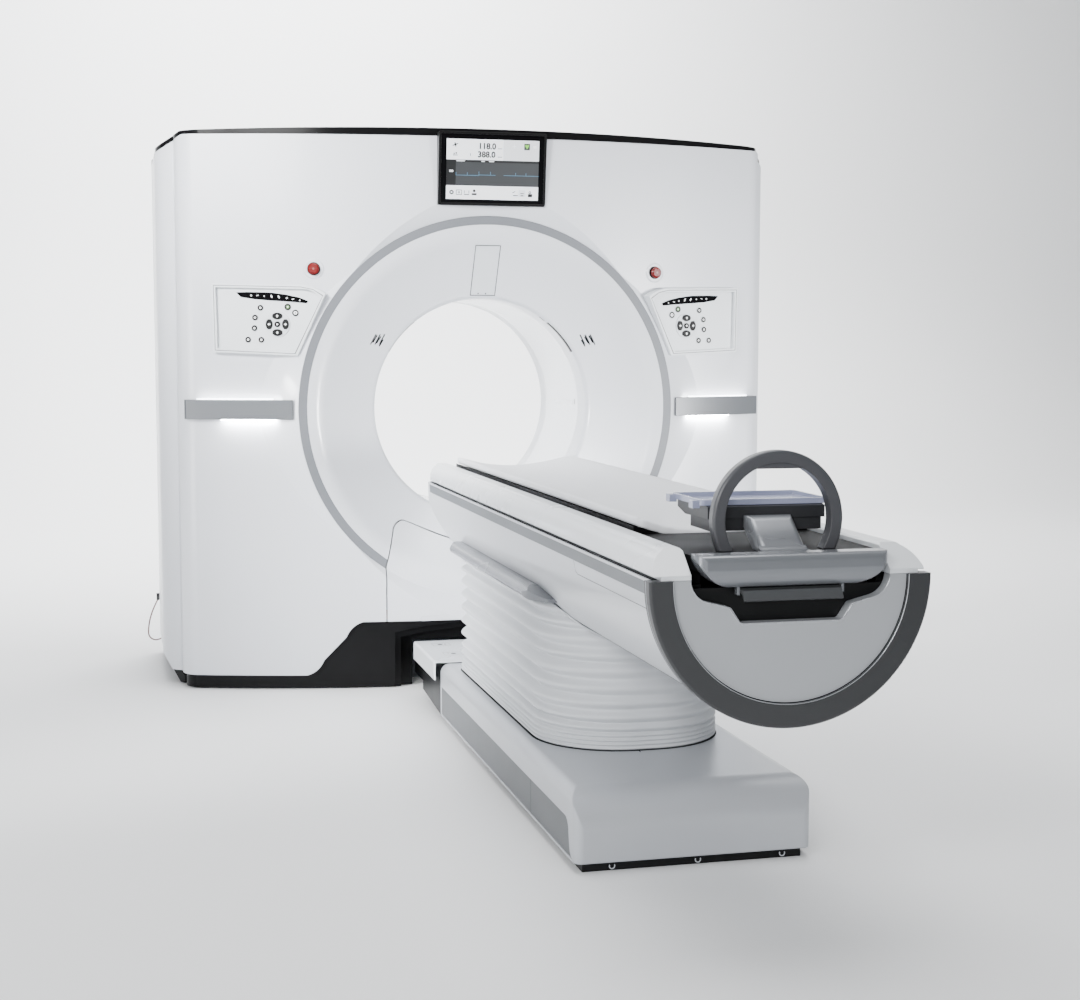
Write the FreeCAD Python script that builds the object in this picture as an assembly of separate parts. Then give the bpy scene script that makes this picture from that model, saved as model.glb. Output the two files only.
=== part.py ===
import FreeCAD, Part
import math
import os

V = FreeCAD.Vector

# A computed-tomography scanner: a ring gantry and its patient table, in millimetres.
# X runs left to right facing the gantry, +Y runs into the bore, Z is up.
# The origin is on the floor under the isocentre, in the scan plane.

# ---- gantry: driving sizes ----
BORE_Z = 1011.0          # isocentre height
BORE_R = 400.0           # patient bore radius
LINER_HALF = 244.0       # half width of the scan window between its two seams
LINER_WALL = 3.0
SKIN = 6.0               # wall of the moulded covers
FRONT_Y = -530.0         # most forward line of the front cover
BOW_R = 3300.0           # plan radius of the front cover
HALF_W = 1100.0          # half width of the front and rear covers
CORNER_R = 80.0          # vertical corner radius of the covers
BOW_SIDE_Y = FRONT_Y + BOW_R - math.sqrt(BOW_R ** 2 - HALF_W ** 2)
FLANK_Y = BOW_SIDE_Y + CORNER_R + 11.3   # where the front cover's flanks meet the side covers
REAR_Y = 480.0
COVER_TOP = 1978.0
COVER_LOW = 52.0         # lower edge of the covers beside the plinth
RING_Y = -493.0          # plane of the grey ring
RING_OUT = 692.7
RING_IN = 662.3
CONE_R = 467.0           # a point on the funnel's straight cone
CONE_Y = RING_Y + 93.0
CONE_SLOPE = 0.57
THROAT_TRIM = 17.0       # rounding where the cone runs into the bore
FLARE_R = 930.0          # where the flare round the ring dies into the cover's sides
MOUTH_R = 800.0          # where the rolled edge over the ring dies into the cover's front
SIDE_X = HALF_W + 63.0   # half width over the side covers
SIDE_TOP = COVER_TOP - 48.0
CHAMFER_Z = 100.0        # where the side covers start to draw in above the floor
CHAMFER_IN = 58.0
CAP_CROWN = COVER_TOP + 28.0
CAP_END = COVER_TOP + 14.0
ROOF_X = HALF_W - 23.0   # where the roof starts to slope down to the sides
ROOF_FALL = 0.571
GAP = 0.5                # parting gap between neighbouring covers
SEAT = 0.3               # clearance between seated curved faces

# ---- plinth and portal ----
PLINTH_INSET = 12.0
PLINTH_WALL = 30.0
PLINTH_HIGH = 245.0
STEP_OUT_X = 667.0
STEP_IN_X = 469.0
PORTAL_X = 353.0
PORTAL_INNER_X = 331.0
PORTAL_OPEN_X = 286.0
PORTAL_Z = 202.0
PORTAL_CROWN = 238.0
FLOOR_GAP = 4.0

# ---- lower front door ----
DOOR_X = 382.0
DOOR_GASKET = 4.0

# ---- rotor and stator ----
PLATE_Y = 110.0          # front face of the stator plate
PLATE_T = 40.0
PLATE_HALF_W = HALF_W - 140.0
PLATE_TOP = COVER_TOP - 78.0
FRAME_TOP = 100.0        # top of the floor frame's box sections
FRAME_HALF_W = HALF_W - 90.0
FRAME_FRONT = -320.0
FRAME_REAR = REAR_Y - 60.0
FRAME_BEAM = 120.0
ANCHOR_R = 9.0
ANCHOR_X = FRAME_HALF_W - 60.0
ANCHOR_FRONT_Y = FRAME_FRONT + 55.0
ANCHOR_REAR_Y = FRAME_REAR - 60.0
DRUM_Y = 20.0
DRUM_T = 30.0
DRUM_R = BORE_Z - FRAME_TOP - 51.0   # leaves the drive ring clear of the floor frame
DRUM_BORE = 430.0
RACE_R = 600.0
RACE_T = 40.0
RACE_GAP = 0.5
DRIVE_T = 40.0
DRIVE_GAP = 2.0

# ---- controls ----
ESTOP_X = 630.7
ESTOP_Z = 1508.3
ESTOP_HEAD_R = 20.0
ESTOP_STEM_R = 8.0
ESTOP_TRAVEL = 5.0
FLANGE_R = 36.0
FLANGE_T = 4.0
POD_X = 762.8            # centre of the four-way key group
POD_Y = -471.6
POD_Z = 1313.0
POD_TURN = 16.0
POD_DEPTH = 60.0
POD_RIM = 15.0
POD_DISH = 14.0
BOSS_R = 45.0
BOSS_T = 4.0
KEY_RING_R = 29.0
KEY_T = 4.0
KEY_TRAVEL = 1.5
KEY_SEAT = 4.0
KEY_GAP = 0.4
DISPLAY_W = 392.0
DISPLAY_TOP = COVER_TOP + 15.0
DISPLAY_LOW = DISPLAY_TOP - 256.0
DISPLAY_TOP_Y = FRONT_Y - 31.0
DISPLAY_LOW_Y = FRONT_Y - 2.0
DISPLAY_BACK_Y = FRONT_Y + 30.0
LEDGE_IN_X = 712.5
LEDGE_OUT_X = HALF_W - 17.0
LEDGE_LOW = 977.5
LEDGE_TOP = 1046.0
LEDGE_IN_Y = RING_Y
LEDGE_OUT_Y = BOW_SIDE_Y - 29.7
WINDOW_HALF = 45.0
WINDOW_LOW_R = 414.0
WINDOW_TOP_R = 590.0

# ---- cord loop at the left rear ----
CORD_R = 2.7
CORD_Y = 430.0

# ---- table ----
BASE_HALF_W = 300.0
BASE_FAR = -1092.0
BASE_NEAR = -2775.0
BASE_TOP = 195.0
BASE_LOW = 24.0
BASE_EDGE_R = 30.0
BASE_NEAR_R = 85.0
BASE_CORNER_R = 22.0
BASE_WALL = 5.0
KICK_IN = 22.0
PANEL_LOW = 30.0
PANEL_TOP = 121.0
PANEL_NEAR = BASE_NEAR + 59.0
PANEL_JOINT = -2331.0    # hair joint between the two lengths of a side panel
BRIDGE_HALF_W = 320.0
BRIDGE_FAR = -685.0
BRIDGE_TOP = 201.0
BRIDGE_LOW = 140.0
DUCT_HALF_W = 250.0
COLUMN_Y = -1765.0
COLUMN_HALF_X = 150.0
COLUMN_HALF_Y = 250.0
COLUMN_WALL = 10.0
COLUMN_GAP = 0.4
OUTER_TOP = 285.0
MIDDLE_LOW = 145.0
MIDDLE_TOP = 380.0
INNER_LOW = 255.0
LIFT_DOWN = 170.0        # how far the table sinks below the height shown
PAN_T = 30.0
HULL_R = 298.0
HULL_Z = 774.0
HULL_TOP = 779.0
HULL_WALL = 5.0
HULL_FAR = -790.0
HULL_NEAR = -3322.0
HULL_PLAN_R = 100.0
END_R = 308.0
END_BAND = 50.0
END_Y = -3358.0
NOTCH_X = 217.0          # the notch in the near end that the handle bar parks in
NOTCH_EAR_Z = 733.0
NOTCH_STEP_X = 132.0
NOTCH_STEP_Z = 721.0
NOTCH_LOW_X = 110.0
NOTCH_LOW_Z = 688.0
RAIL_IN = 217.0
RAIL_OUT = 294.0
RAIL_TOP = 838.0
RAIL_LOW = 787.0
RAIL_NEAR = -3350.0
RAIL_FAR = -800.0
RAIL_FOOT = 280.0
GRIP_NEAR = -2338.0
GRIP_FAR = -1220.0
DECK_Z = 752.0
TROUGH_Z = 690.0
DECK_T = 8.0
GUIDE_TOP = 762.0
BEAM_HALF = 162.0
BEAM_LOW = 548.0
CRADLE_HALF = 209.0
CRADLE_FAR = -812.0
FOOT_FAR = -2932.0
CRADLE_NEAR = -3322.0
CRADLE_EDGE = 844.0
CRADLE_DIP = 806.0
FOOT_TOP = 826.0
PAD_EDGE = 866.0
PAD_DIP = 828.0
BAR_TOP = 830.0
BAR_LOW = 763.0
BAR_TIP = 209.0
BAR_FRONT = -3374.0
BAR_BACK = -3322.0
HOOP_Z = 889.5
HOOP_R = 144.5
HOOP_WEB = 26.5
HOOP_Y = -3259.0
HOOP_T = 30.0
LEVER_Y = -3338.0
LEVER_Z = 753.0
LEVER_HALF = 108.0
POST_END = -3206.0
POST_TOP = 893.0
POST_HALF = 52.0
TRAY_Y = -3100.0
TRAY_X = 145.0
TRAY_LOW = 914.0

# ---- bellows ----
BELLOWS_HALF = 255.0
BELLOWS_NEAR = -2398.0
BELLOWS_FAR = -1120.0
BELLOWS_NEAR_R = 235.0
BELLOWS_FAR_R = 110.0
BELLOWS_FOLD = 24.0
BELLOWS_TOP = 571.0
BELLOWS_FOLDS = 11
BELLOWS_WALL = 3.0


def outline(points, place):
    """A closed wire. A point is (a, b), or (mid, end) for an arc through mid to end."""
    edges = []
    start = points[0]
    last = start
    for item in points[1:]:
        if isinstance(item[0], tuple):
            mid, end = item
            edges.append(Part.Arc(place(*last), place(*mid), place(*end)).toShape())
        else:
            end = item
            edges.append(Part.LineSegment(place(*last), place(*end)).toShape())
        last = end
    if math.dist(last, start) > 1e-6:
        edges.append(Part.LineSegment(place(*last), place(*start)).toShape())
    return Part.Wire(edges)


def prism_y(points, y0, y1):
    """An XZ outline carried along Y."""
    wire = outline(points, lambda x, z: V(x, y0, z))
    return Part.Face(wire).extrude(V(0, y1 - y0, 0))


def prism_z(points, z0, z1):
    """An XY outline carried along Z."""
    wire = outline(points, lambda x, y: V(x, y, z0))
    return Part.Face(wire).extrude(V(0, 0, z1 - z0))


def prism_x(points, x0, x1):
    """A YZ outline carried along X."""
    wire = outline(points, lambda y, z: V(x0, y, z))
    return Part.Face(wire).extrude(V(x1 - x0, 0, 0))


def box(x0, x1, y0, y1, z0, z1):
    return Part.makeBox(x1 - x0, y1 - y0, z1 - z0, V(x0, y0, z0))


def disc(radius, y0, y1, x=0.0, z=BORE_Z):
    """A cylinder along Y, on the bore axis unless placed elsewhere."""
    return Part.makeCylinder(radius, y1 - y0, V(x, y0, z), V(0, 1, 0))


def annulus(r_out, r_in, y0, y1):
    return disc(r_out, y0, y1).cut(disc(r_in, y0 - 1, y1 + 1))


def turned(points):
    """A profile of (radius, y) points turned about the bore axis."""
    wire = outline(points, lambda r, y: V(r, y, BORE_Z))
    return Part.Face(wire).revolve(V(0, 0, BORE_Z), V(0, 1, 0), 360)


def mirrored(shape):
    return shape.mirror(V(0, 0, 0), V(1, 0, 0))


def both_sides(shape):
    return Part.makeCompound([shape, mirrored(shape)])


def fillet_where(shape, radius, test):
    """Rounds the straight or round edges that the test picks."""
    edges = [e for e in shape.Edges if test(e)]
    return shape.makeFillet(radius, edges)


def is_vertical(edge):
    a, b = edge.Vertexes[0].Point, edge.Vertexes[-1].Point
    return len(edge.Vertexes) == 2 and abs(a.x - b.x) < 0.01 and abs(a.y - b.y) < 0.01


def bow_y(x, inset=0.0):
    """Y of the front cover's bow at x, moved inwards by inset."""
    radius = BOW_R - inset
    return FRONT_Y + inset + radius - math.sqrt(radius * radius - x * x)


# ---- covers ----

def bowed_block(inset, z0, z1, back):
    """The front cover's outer form: bowed front, rounded corners, flat back."""
    half = HALF_W - inset
    side_y = bow_y(half, inset)
    points = [(-half, back), (-half, side_y), ((0.0, FRONT_Y + inset), (half, side_y)), (half, back)]
    block = prism_z(points, z0, z1)
    corners = [e for e in block.Edges if is_vertical(e) and e.Vertexes[0].Point.y < back - 1]
    return block.makeFillet(CORNER_R - inset, corners)


def plinth_outline(clear):
    """The S-shaped upper edge of the black plinth, as an XZ area from the floor up."""
    low, high = COVER_LOW + clear, PLINTH_HIGH + clear
    mid = ((STEP_OUT_X + STEP_IN_X) / 2, (low + high) / 2)
    half = HALF_W + 100.0
    q1 = (STEP_OUT_X - 38.0, low + 22.0)
    q2 = (STEP_IN_X + 38.0, high - 22.0)
    right = [(half, low), (STEP_OUT_X, low), (q1, (mid[0] + 40.0, mid[1] - 42.0)),
             (mid[0] - 40.0, mid[1] + 42.0), (q2, (STEP_IN_X, high))]
    left = [(-STEP_IN_X, high), ((-q2[0], q2[1]), (-mid[0] + 40.0, mid[1] + 42.0)),
            (-mid[0] - 40.0, mid[1] - 42.0), ((-q1[0], q1[1]), (-STEP_OUT_X, low)), (-half, low)]
    return [(half, -50.0)] + right + left + [(-half, -50.0)]


def door_outline(grow):
    """The lower front door seen from the front, grown outwards by grow."""
    x = DOOR_X + grow
    top_r = 498.0 - grow
    shoulder_x = 304.0 + grow
    shoulder_z = 601.0 + grow
    inner_x = 200.0
    inner_z = BORE_Z - math.sqrt(top_r * top_r - inner_x * inner_x)
    base_z = PLINTH_HIGH - grow
    right = [(x, base_z), (x, 441.0), (350.0 + grow, 566.0),
             ((336.0 + grow, 592.0 + grow * 0.7), (shoulder_x, shoulder_z)), (inner_x, inner_z)]
    left = [(-shoulder_x, shoulder_z), ((-336.0 - grow, 592.0 + grow * 0.7), (-350.0 - grow, 566.0)),
            (-x, 441.0), (-x, base_z)]
    return right + [((0.0, BORE_Z - top_r), (-inner_x, inner_z))] + left


def door_prism(grow):
    return prism_y(door_outline(grow), FRONT_Y - 80.0, -LINER_HALF + 44.0)


def display_block(grow):
    """The display's wedge: its face leans down towards the operator."""
    half = DISPLAY_W / 2 + grow
    points = [(DISPLAY_TOP_Y - grow, DISPLAY_TOP + grow), (DISPLAY_LOW_Y - grow, DISPLAY_LOW - grow),
              (DISPLAY_BACK_Y, DISPLAY_LOW - grow), (DISPLAY_BACK_Y, DISPLAY_TOP + grow)]
    return prism_x(points, -half, half)


def flare(inset):
    """The hub that lifts the cover to the ring at the sides, where the bow falls away."""
    face = RING_Y + inset
    return turned([(0.0, face), (RING_OUT, face), ((770.0, face + 44.0), (FLARE_R, face + 99.0)),
                   (FLARE_R, FLANK_Y), (0.0, FLANK_Y)])


def mouth(inset):
    """The dished room ahead of the ring, with a rolled edge up to the front of the bow."""
    face = RING_Y + inset
    ahead = FRONT_Y - 70.0
    return turned([(0.0, ahead), (MOUTH_R, ahead), (MOUTH_R, FRONT_Y - 1.0 + inset),
                   ((735.0, face - 24.0), (RING_OUT, face)), (0.0, face)])


def cover_solid(inset, spill):
    """The front cover's room as a solid, drawn in by inset and running spill past its edges."""
    block = bowed_block(inset, COVER_LOW - spill, COVER_TOP + spill, FLANK_Y + spill)
    return block.fuse(flare(inset)).cut(mouth(inset))


def cover_skin():
    """The whole front skin before the door and fittings are cut out of it."""
    shell = cover_solid(0.0, 0.0).cut(cover_solid(SKIN, 10.0))
    return shell.cut(disc(RING_OUT, FRONT_Y - 80.0, FLANK_Y + 20.0))


def eased(before, corner, after, trim):
    """Start, then (mid, end), of the arc that rounds a corner from trim before it to trim after it."""
    d1, d2 = math.dist(before, corner), math.dist(corner, after)
    into = ((corner[0] - before[0]) / d1, (corner[1] - before[1]) / d1)
    away = ((after[0] - corner[0]) / d2, (after[1] - corner[1]) / d2)
    start = (corner[0] - into[0] * trim, corner[1] - into[1] * trim)
    end = (corner[0] + away[0] * trim, corner[1] + away[1] * trim)
    turn = math.acos(into[0] * away[0] + into[1] * away[1])
    bisector = (away[0] - into[0], away[1] - into[1])
    reach = trim * (1 / math.cos(turn / 2) - 1) / math.tan(turn / 2) / math.hypot(*bisector)
    mid = (corner[0] + bisector[0] * reach, corner[1] + bisector[1] * reach)
    return [start, (mid, end)]


def funnel_path(wall):
    """From the ring's edge to the scan window, set back by wall: eased into a cone and into the bore."""
    face = RING_Y + wall
    lift = CONE_Y + wall * math.hypot(1.0, CONE_SLOPE)
    knee = (CONE_R + (lift - face) / CONE_SLOPE, face)
    throat = (BORE_R + wall, lift + (CONE_R - BORE_R - wall) * CONE_SLOPE)
    first = (RING_IN - GAP, face)
    last = (BORE_R + wall, -LINER_HALF)
    return ([first] + eased(first, knee, throat, first[0] - knee[0] - 1.0)
            + eased(knee, throat, last, THROAT_TRIM) + [last])


def funnel_skin():
    """The funnel's wall: its path out and, set back by the wall, the same path home."""
    face = funnel_path(0.0)
    back = funnel_path(SKIN - 1.0)
    home = [back[-1], back[4][1], (back[4][0], back[3]), back[2][1], (back[2][0], back[1]), back[0]]
    return turned(face + home)


def ring_skin():
    return annulus(RING_OUT - GAP, RING_IN, RING_Y, RING_Y + 8.0)


def estop_axis(side):
    """Foot point on the bow and outward direction of an emergency stop."""
    lean = math.asin(ESTOP_X / BOW_R)
    return V(side * ESTOP_X, bow_y(ESTOP_X), ESTOP_Z), V(side * math.sin(lean), -math.cos(lean), 0)


def estop_flange(side):
    foot, out = estop_axis(side)
    ring = Part.makeCone(FLANGE_R + 4.0, FLANGE_R - 4.0, FLANGE_T + 3.0, foot - out * 3.0, out)
    return ring


def estop_hole(side):
    foot, out = estop_axis(side)
    return Part.makeCylinder(ESTOP_STEM_R + KEY_GAP, 40.0, foot - out * 20.0, out)


def front_cover():
    cover = cover_skin()
    cover = cover.cut(prism_y(plinth_outline(0.0), FRONT_Y - 80.0, FLANK_Y + 20.0))
    cover = cover.cut(door_prism(DOOR_GASKET))
    cover = cover.cut(display_block(SEAT)).cut(roof_space(0.0))
    for side in (-1, 1):
        cover = cover.fuse(estop_flange(side)).cut(estop_hole(side))
        cover = cover.cut(pod_place(pod_socket(), side))
    return cover.removeSplitter()


def ring_trim():
    return ring_skin().cut(door_prism(DOOR_GASKET))


def window_cut():
    low, top = BORE_Z + WINDOW_LOW_R, BORE_Z + WINDOW_TOP_R
    return box(-WINDOW_HALF, WINDOW_HALF, RING_Y - 27.0, RING_Y + 153.0, low, top)


def front_funnel():
    funnel = funnel_skin().cut(door_prism(DOOR_GASKET)).cut(window_cut())
    for side in (-1, 1):
        for step in (-1, 0, 1):
            slit = box(-2.5, 2.5, RING_Y + 68.0, RING_Y + 113.0, -21.0, 21.0)
            slit.rotate(V(0, 0, 0), V(0, 1, 0), -side * 14.0 + 28.0 * (side < 0) - 14.0)
            slit.translate(V(side * 394.0 + step * 17.0, 0, BORE_Z + 250.0))
            funnel = funnel.cut(slit)
    return funnel


def funnel_window():
    return funnel_skin().common(window_cut())


def front_door():
    """The removable lower door: cover skin, ring and funnel moulded as one."""
    prism = door_prism(0.0)
    ring = annulus(RING_OUT + 1.0, RING_IN - 1.0, RING_Y, RING_Y + 8.0)
    skin = cover_skin().fuse(ring).fuse(funnel_skin())
    flange = prism_y([(-260, PLINTH_HIGH), (260, PLINTH_HIGH), (260, 262), (-260, 262)],
                     FRONT_Y + SKIN - 1.0, FRONT_Y + SKIN + 24.0)
    return skin.common(prism).fuse(flange).removeSplitter()


def bore_liner():
    return annulus(BORE_R + LINER_WALL, BORE_R, -LINER_HALF + GAP, LINER_HALF - GAP)


def rear_cover():
    """Flat rear shell with its own funnel, moulded in one piece."""
    def block(inset, front):
        half = HALF_W - inset
        plan = prism_z([(-half, front), (half, front), (half, REAR_Y - inset), (-half, REAR_Y - inset)],
                       COVER_LOW - (inset > 0) * 10, COVER_TOP + (inset > 0) * 10)
        corners = [e for e in plan.Edges if is_vertical(e) and e.Vertexes[0].Point.y > front + 1]
        return plan.makeFillet(CORNER_R - inset, corners)
    shell = block(0.0, REAR_Y - 120.0).cut(block(SKIN, REAR_Y - 140.0))
    mouth = 610.0
    funnel = turned([(BORE_R, LINER_HALF), (BORE_R, 330.0), ((412.0, 366.0), (440.0, 392.0)),
                     ((520.0, 440.0), (mouth, REAR_Y)), (mouth, REAR_Y - SKIN),
                     ((523.0, 434.0), (443.0, 386.0)), ((417.0, 362.0), (BORE_R + SKIN, 330.0)),
                     (BORE_R + SKIN, LINER_HALF)])
    shell = shell.cut(disc(mouth - 1.0, 300.0, REAR_Y + 10)).cut(roof_space(0.0))
    return shell.fuse(funnel).removeSplitter()


def side_block(inset, z0, z1):
    """The right side cover's bulged form, with its foot drawn in above the floor."""
    x_in = HALF_W + GAP
    x = SIDE_X - inset
    front = FLANK_Y + GAP + inset * 0.2
    rear = REAR_Y - 125.0 + GAP
    tail = REAR_Y - 18.0
    points = [(x_in - 60.0, front), (x_in + 4.0 - inset, front),
              ((x - 12.0, front + 50.0), (x, front + 140.0)), (x, tail - 212.0),
              ((x - 4.0, tail - 102.0), (x - 16.0, tail - 32.0)), ((x - 26.0, tail - 10.0), (x - 52.0, tail)),
              (x_in - inset, tail - inset), (x_in - inset, rear), (x_in - 60.0, rear)]
    block = prism_z(points, z0, z1)
    foot_x = SIDE_X - CHAMFER_IN - inset
    foot = prism_y([(foot_x, 0.0), (x, CHAMFER_Z), (x + 80.0, CHAMFER_Z), (x + 80.0, -60.0),
                    (foot_x, -60.0)], -600.0, 600.0)
    return block.cut(foot)


def side_cover_right():
    outer = side_block(0.0, COVER_LOW, COVER_TOP).cut(roof_space(0.0))
    inner = side_block(SKIN, COVER_LOW - 10.0, COVER_TOP).cut(roof_space(-SKIN))
    return outer.cut(inner)


def roof_space(lift):
    """Everything above the covers' upper edge: level, then falling away over the sides."""
    end = SIDE_X + 60.0
    end_z = COVER_TOP + lift - (end - ROOF_X) * ROOF_FALL
    return prism_y([(-end, end_z), (-ROOF_X, COVER_TOP + lift), (ROOF_X, COVER_TOP + lift), (end, end_z),
                    (end, CAP_CROWN + 60.0), (-end, CAP_CROWN + 60.0)], -700.0, 700.0)


def cap_plan(inset):
    """The top's plan: bowed front, side bulges and flat rear."""
    x = SIDE_X - 4.0 - inset
    f_x = HALF_W - CORNER_R
    front = bow_y(f_x) + 2.0
    tail = REAR_Y - 40.0
    return [(-f_x, front), ((0.0, FRONT_Y - 3.0 + inset), (f_x, front)),
            ((HALF_W - 14.0, front + 56.0), (HALF_W + 2.0, FLANK_Y)), ((x - 10.0, FLANK_Y + 60.0),
            (x, FLANK_Y + 150.0)), (x, tail - 190.0), ((x - 6.0, tail - 70.0), (x - 40.0, tail)),
            (HALF_W - 60.0, REAR_Y), (-HALF_W + 60.0, REAR_Y), (-x + 40.0, tail),
            ((-x + 6.0, tail - 70.0), (-x, tail - 190.0)),
            (-x, FLANK_Y + 150.0), ((-x + 10.0, FLANK_Y + 60.0), (-HALF_W - 2.0, FLANK_Y)),
            ((-HALF_W + 14.0, front + 56.0), (-f_x, front))]


def top_cap():
    """The black roof: a crowned lid that slopes down over the side covers."""
    lid = prism_z(cap_plan(0.0), SIDE_TOP - 60.0, CAP_CROWN + 20.0)
    edge_x = ROOF_X + 6.0
    end_x = SIDE_X + 10.0
    end_z = CAP_END - (end_x - edge_x) * ROOF_FALL
    roof = prism_y([(-edge_x, CAP_END), ((0.0, CAP_CROWN), (edge_x, CAP_END)), (end_x, end_z),
                    (end_x, SIDE_TOP - 80.0), (-end_x, SIDE_TOP - 80.0), (-end_x, end_z)], -700.0, 700.0)
    return lid.common(roof).common(roof_space(GAP)).cut(display_block(SEAT))


def portal_outline(x, z, crown):
    return [(-x, -20.0), (-x, z), ((0.0, crown), (x, z)), (x, -20.0)]


def plinth():
    """Black foot of the gantry with the stepped portal that the table's bridge enters."""
    outer = bowed_block(PLINTH_INSET, FLOOR_GAP, PLINTH_HIGH, FLANK_Y + 40.0)
    inner = bowed_block(PLINTH_INSET + PLINTH_WALL, 0.0, PLINTH_HIGH + 10, FLANK_Y + 60.0)
    front = outer.cut(inner).common(prism_y(plinth_outline(-GAP), FRONT_Y - 40.0, FLANK_Y + 60.0))
    backing = box(-PORTAL_X - 30.0, PORTAL_X + 30.0, FRONT_Y + 45.0, FRONT_Y + 90.0,
                  FLOOR_GAP, PLINTH_HIGH - GAP)
    front = front.fuse(backing)
    face = FRONT_Y + PLINTH_INSET
    front = front.cut(prism_y(portal_outline(PORTAL_X, PORTAL_Z, PORTAL_CROWN), face - 40.0, face + 26.0))
    front = front.cut(prism_y(portal_outline(PORTAL_INNER_X, PORTAL_Z - 18.0, PORTAL_CROWN - 24.0),
                              face - 40.0, face + 52.0))
    front = front.cut(box(-PORTAL_OPEN_X, PORTAL_OPEN_X, FRONT_Y - 40.0, FRONT_Y + 130.0,
                          -20.0, PORTAL_Z - 34.0))
    skirt = both_sides(plinth_side())
    rear = box(-HALF_W + 20.0, HALF_W - 20.0, FRAME_REAR, REAR_Y - 20.0, FLOOR_GAP, COVER_LOW - GAP)
    return front.fuse(skirt.Solids + [rear]).removeSplitter()


def plinth_side():
    """The plinth's flank under the right side cover, drawn in like the cover above it."""
    top = COVER_LOW - GAP
    slope = CHAMFER_IN / CHAMFER_Z
    foot = SIDE_X - CHAMFER_IN
    points = [(foot + FLOOR_GAP * slope, FLOOR_GAP), (foot + top * slope, top),
              (foot + top * slope - PLINTH_WALL, top), (foot - PLINTH_WALL, FLOOR_GAP)]
    flank = prism_y(points, FLANK_Y, REAR_Y - 20.0)
    inner = HALF_W - 200.0
    plan = prism_z([(inner, FLANK_Y + 30.0), (HALF_W - 14.0, FLANK_Y - 10.0), (SIDE_X, FLANK_Y + 110.0),
                    (SIDE_X, REAR_Y - 150.0), (SIDE_X - 24.0, REAR_Y - 40.0), (HALF_W - 30.0, REAR_Y - 20.0),
                    (inner, REAR_Y - 20.0)], -10.0, CHAMFER_Z)
    front_link = box(HALF_W - PLINTH_INSET - PLINTH_WALL, HALF_W - PLINTH_INSET,
                     FLANK_Y - 20.0, FLANK_Y + 110.0, FLOOR_GAP, COVER_LOW - GAP)
    rear_link = box(HALF_W - 60.0, HALF_W - 20.0, REAR_Y - 120.0, REAR_Y - 20.0, FLOOR_GAP, COVER_LOW - GAP)
    return flank.common(plan).fuse([front_link, rear_link])


# ---- structure inside the gantry ----

def floor_frame():
    """Welded box-section frame that stands on the floor and is anchored at its corners."""
    outer = box(-FRAME_HALF_W, FRAME_HALF_W, FRAME_FRONT, FRAME_REAR, 0.0, FRAME_TOP)
    inner = box(-FRAME_HALF_W + FRAME_BEAM, FRAME_HALF_W - FRAME_BEAM, FRAME_FRONT + FRAME_BEAM,
                FRAME_REAR - FRAME_BEAM, -10.0, FRAME_TOP + 10.0)
    cross = box(-FRAME_HALF_W + 10.0, FRAME_HALF_W - 10.0, -60.0, PLATE_Y + PLATE_T + 30.0, 0.0, FRAME_TOP)
    frame = outer.cut(inner).fuse(cross)
    for x in (-ANCHOR_X, ANCHOR_X):
        for y in (ANCHOR_FRONT_Y, ANCHOR_REAR_Y):
            frame = frame.cut(Part.makeCylinder(ANCHOR_R, FRAME_TOP + 20.0, V(x, y, -10.0)))
    return frame.removeSplitter()


def stator_frame():
    """The upright plate that carries the main bearing, with gussets down to the floor frame."""
    shoulder = 1500.0
    plate = prism_y([(-PLATE_HALF_W, FRAME_TOP), (PLATE_HALF_W, FRAME_TOP), (PLATE_HALF_W, shoulder),
                     ((700.0, 1790.0), (420.0, PLATE_TOP)), (-420.0, PLATE_TOP),
                     ((-700.0, 1790.0), (-PLATE_HALF_W, shoulder))], PLATE_Y, PLATE_Y + PLATE_T)
    plate = plate.cut(disc(RACE_R - 20.0, 0.0, 300.0))
    gusset = prism_x([(PLATE_Y + PLATE_T - 1.0, FRAME_TOP), (FRAME_REAR - 10.0, FRAME_TOP),
                      (FRAME_REAR - 10.0, FRAME_TOP + 60.0), (PLATE_Y + PLATE_T + 40.0, 900.0),
                      (PLATE_Y + PLATE_T - 1.0, 900.0)], PLATE_HALF_W - 40.0, PLATE_HALF_W - 10.0)
    return plate.fuse(both_sides(gusset).Solids).removeSplitter()


def bearing_outer_race():
    r_in = RACE_R + RACE_GAP
    return annulus(r_in + RACE_T, r_in, DRUM_Y + DRUM_T + 6.0, PLATE_Y)


def drive_stator():
    """Direct-drive coil ring round the drum's rim, on feet from the stator plate."""
    r_in = DRUM_R + DRIVE_GAP
    ring = annulus(r_in + DRIVE_T, r_in, DRUM_Y - 10.0, PLATE_Y - 20.0)
    feet = []
    for angle in (20, 70, 110, 160, 200, 340):
        a = math.radians(angle)
        foot = box(r_in + 4.0, r_in + DRIVE_T - 4.0, PLATE_Y - 21.0, PLATE_Y, -25.0, 25.0)
        foot.rotate(V(0, 0, 0), V(0, 1, 0), -angle)
        foot.translate(V(0, 0, BORE_Z))
        if BORE_Z + r_in * math.sin(a) < PLATE_TOP - 40.0:
            feet.append(foot)
    return ring.fuse(feet).removeSplitter()


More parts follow.
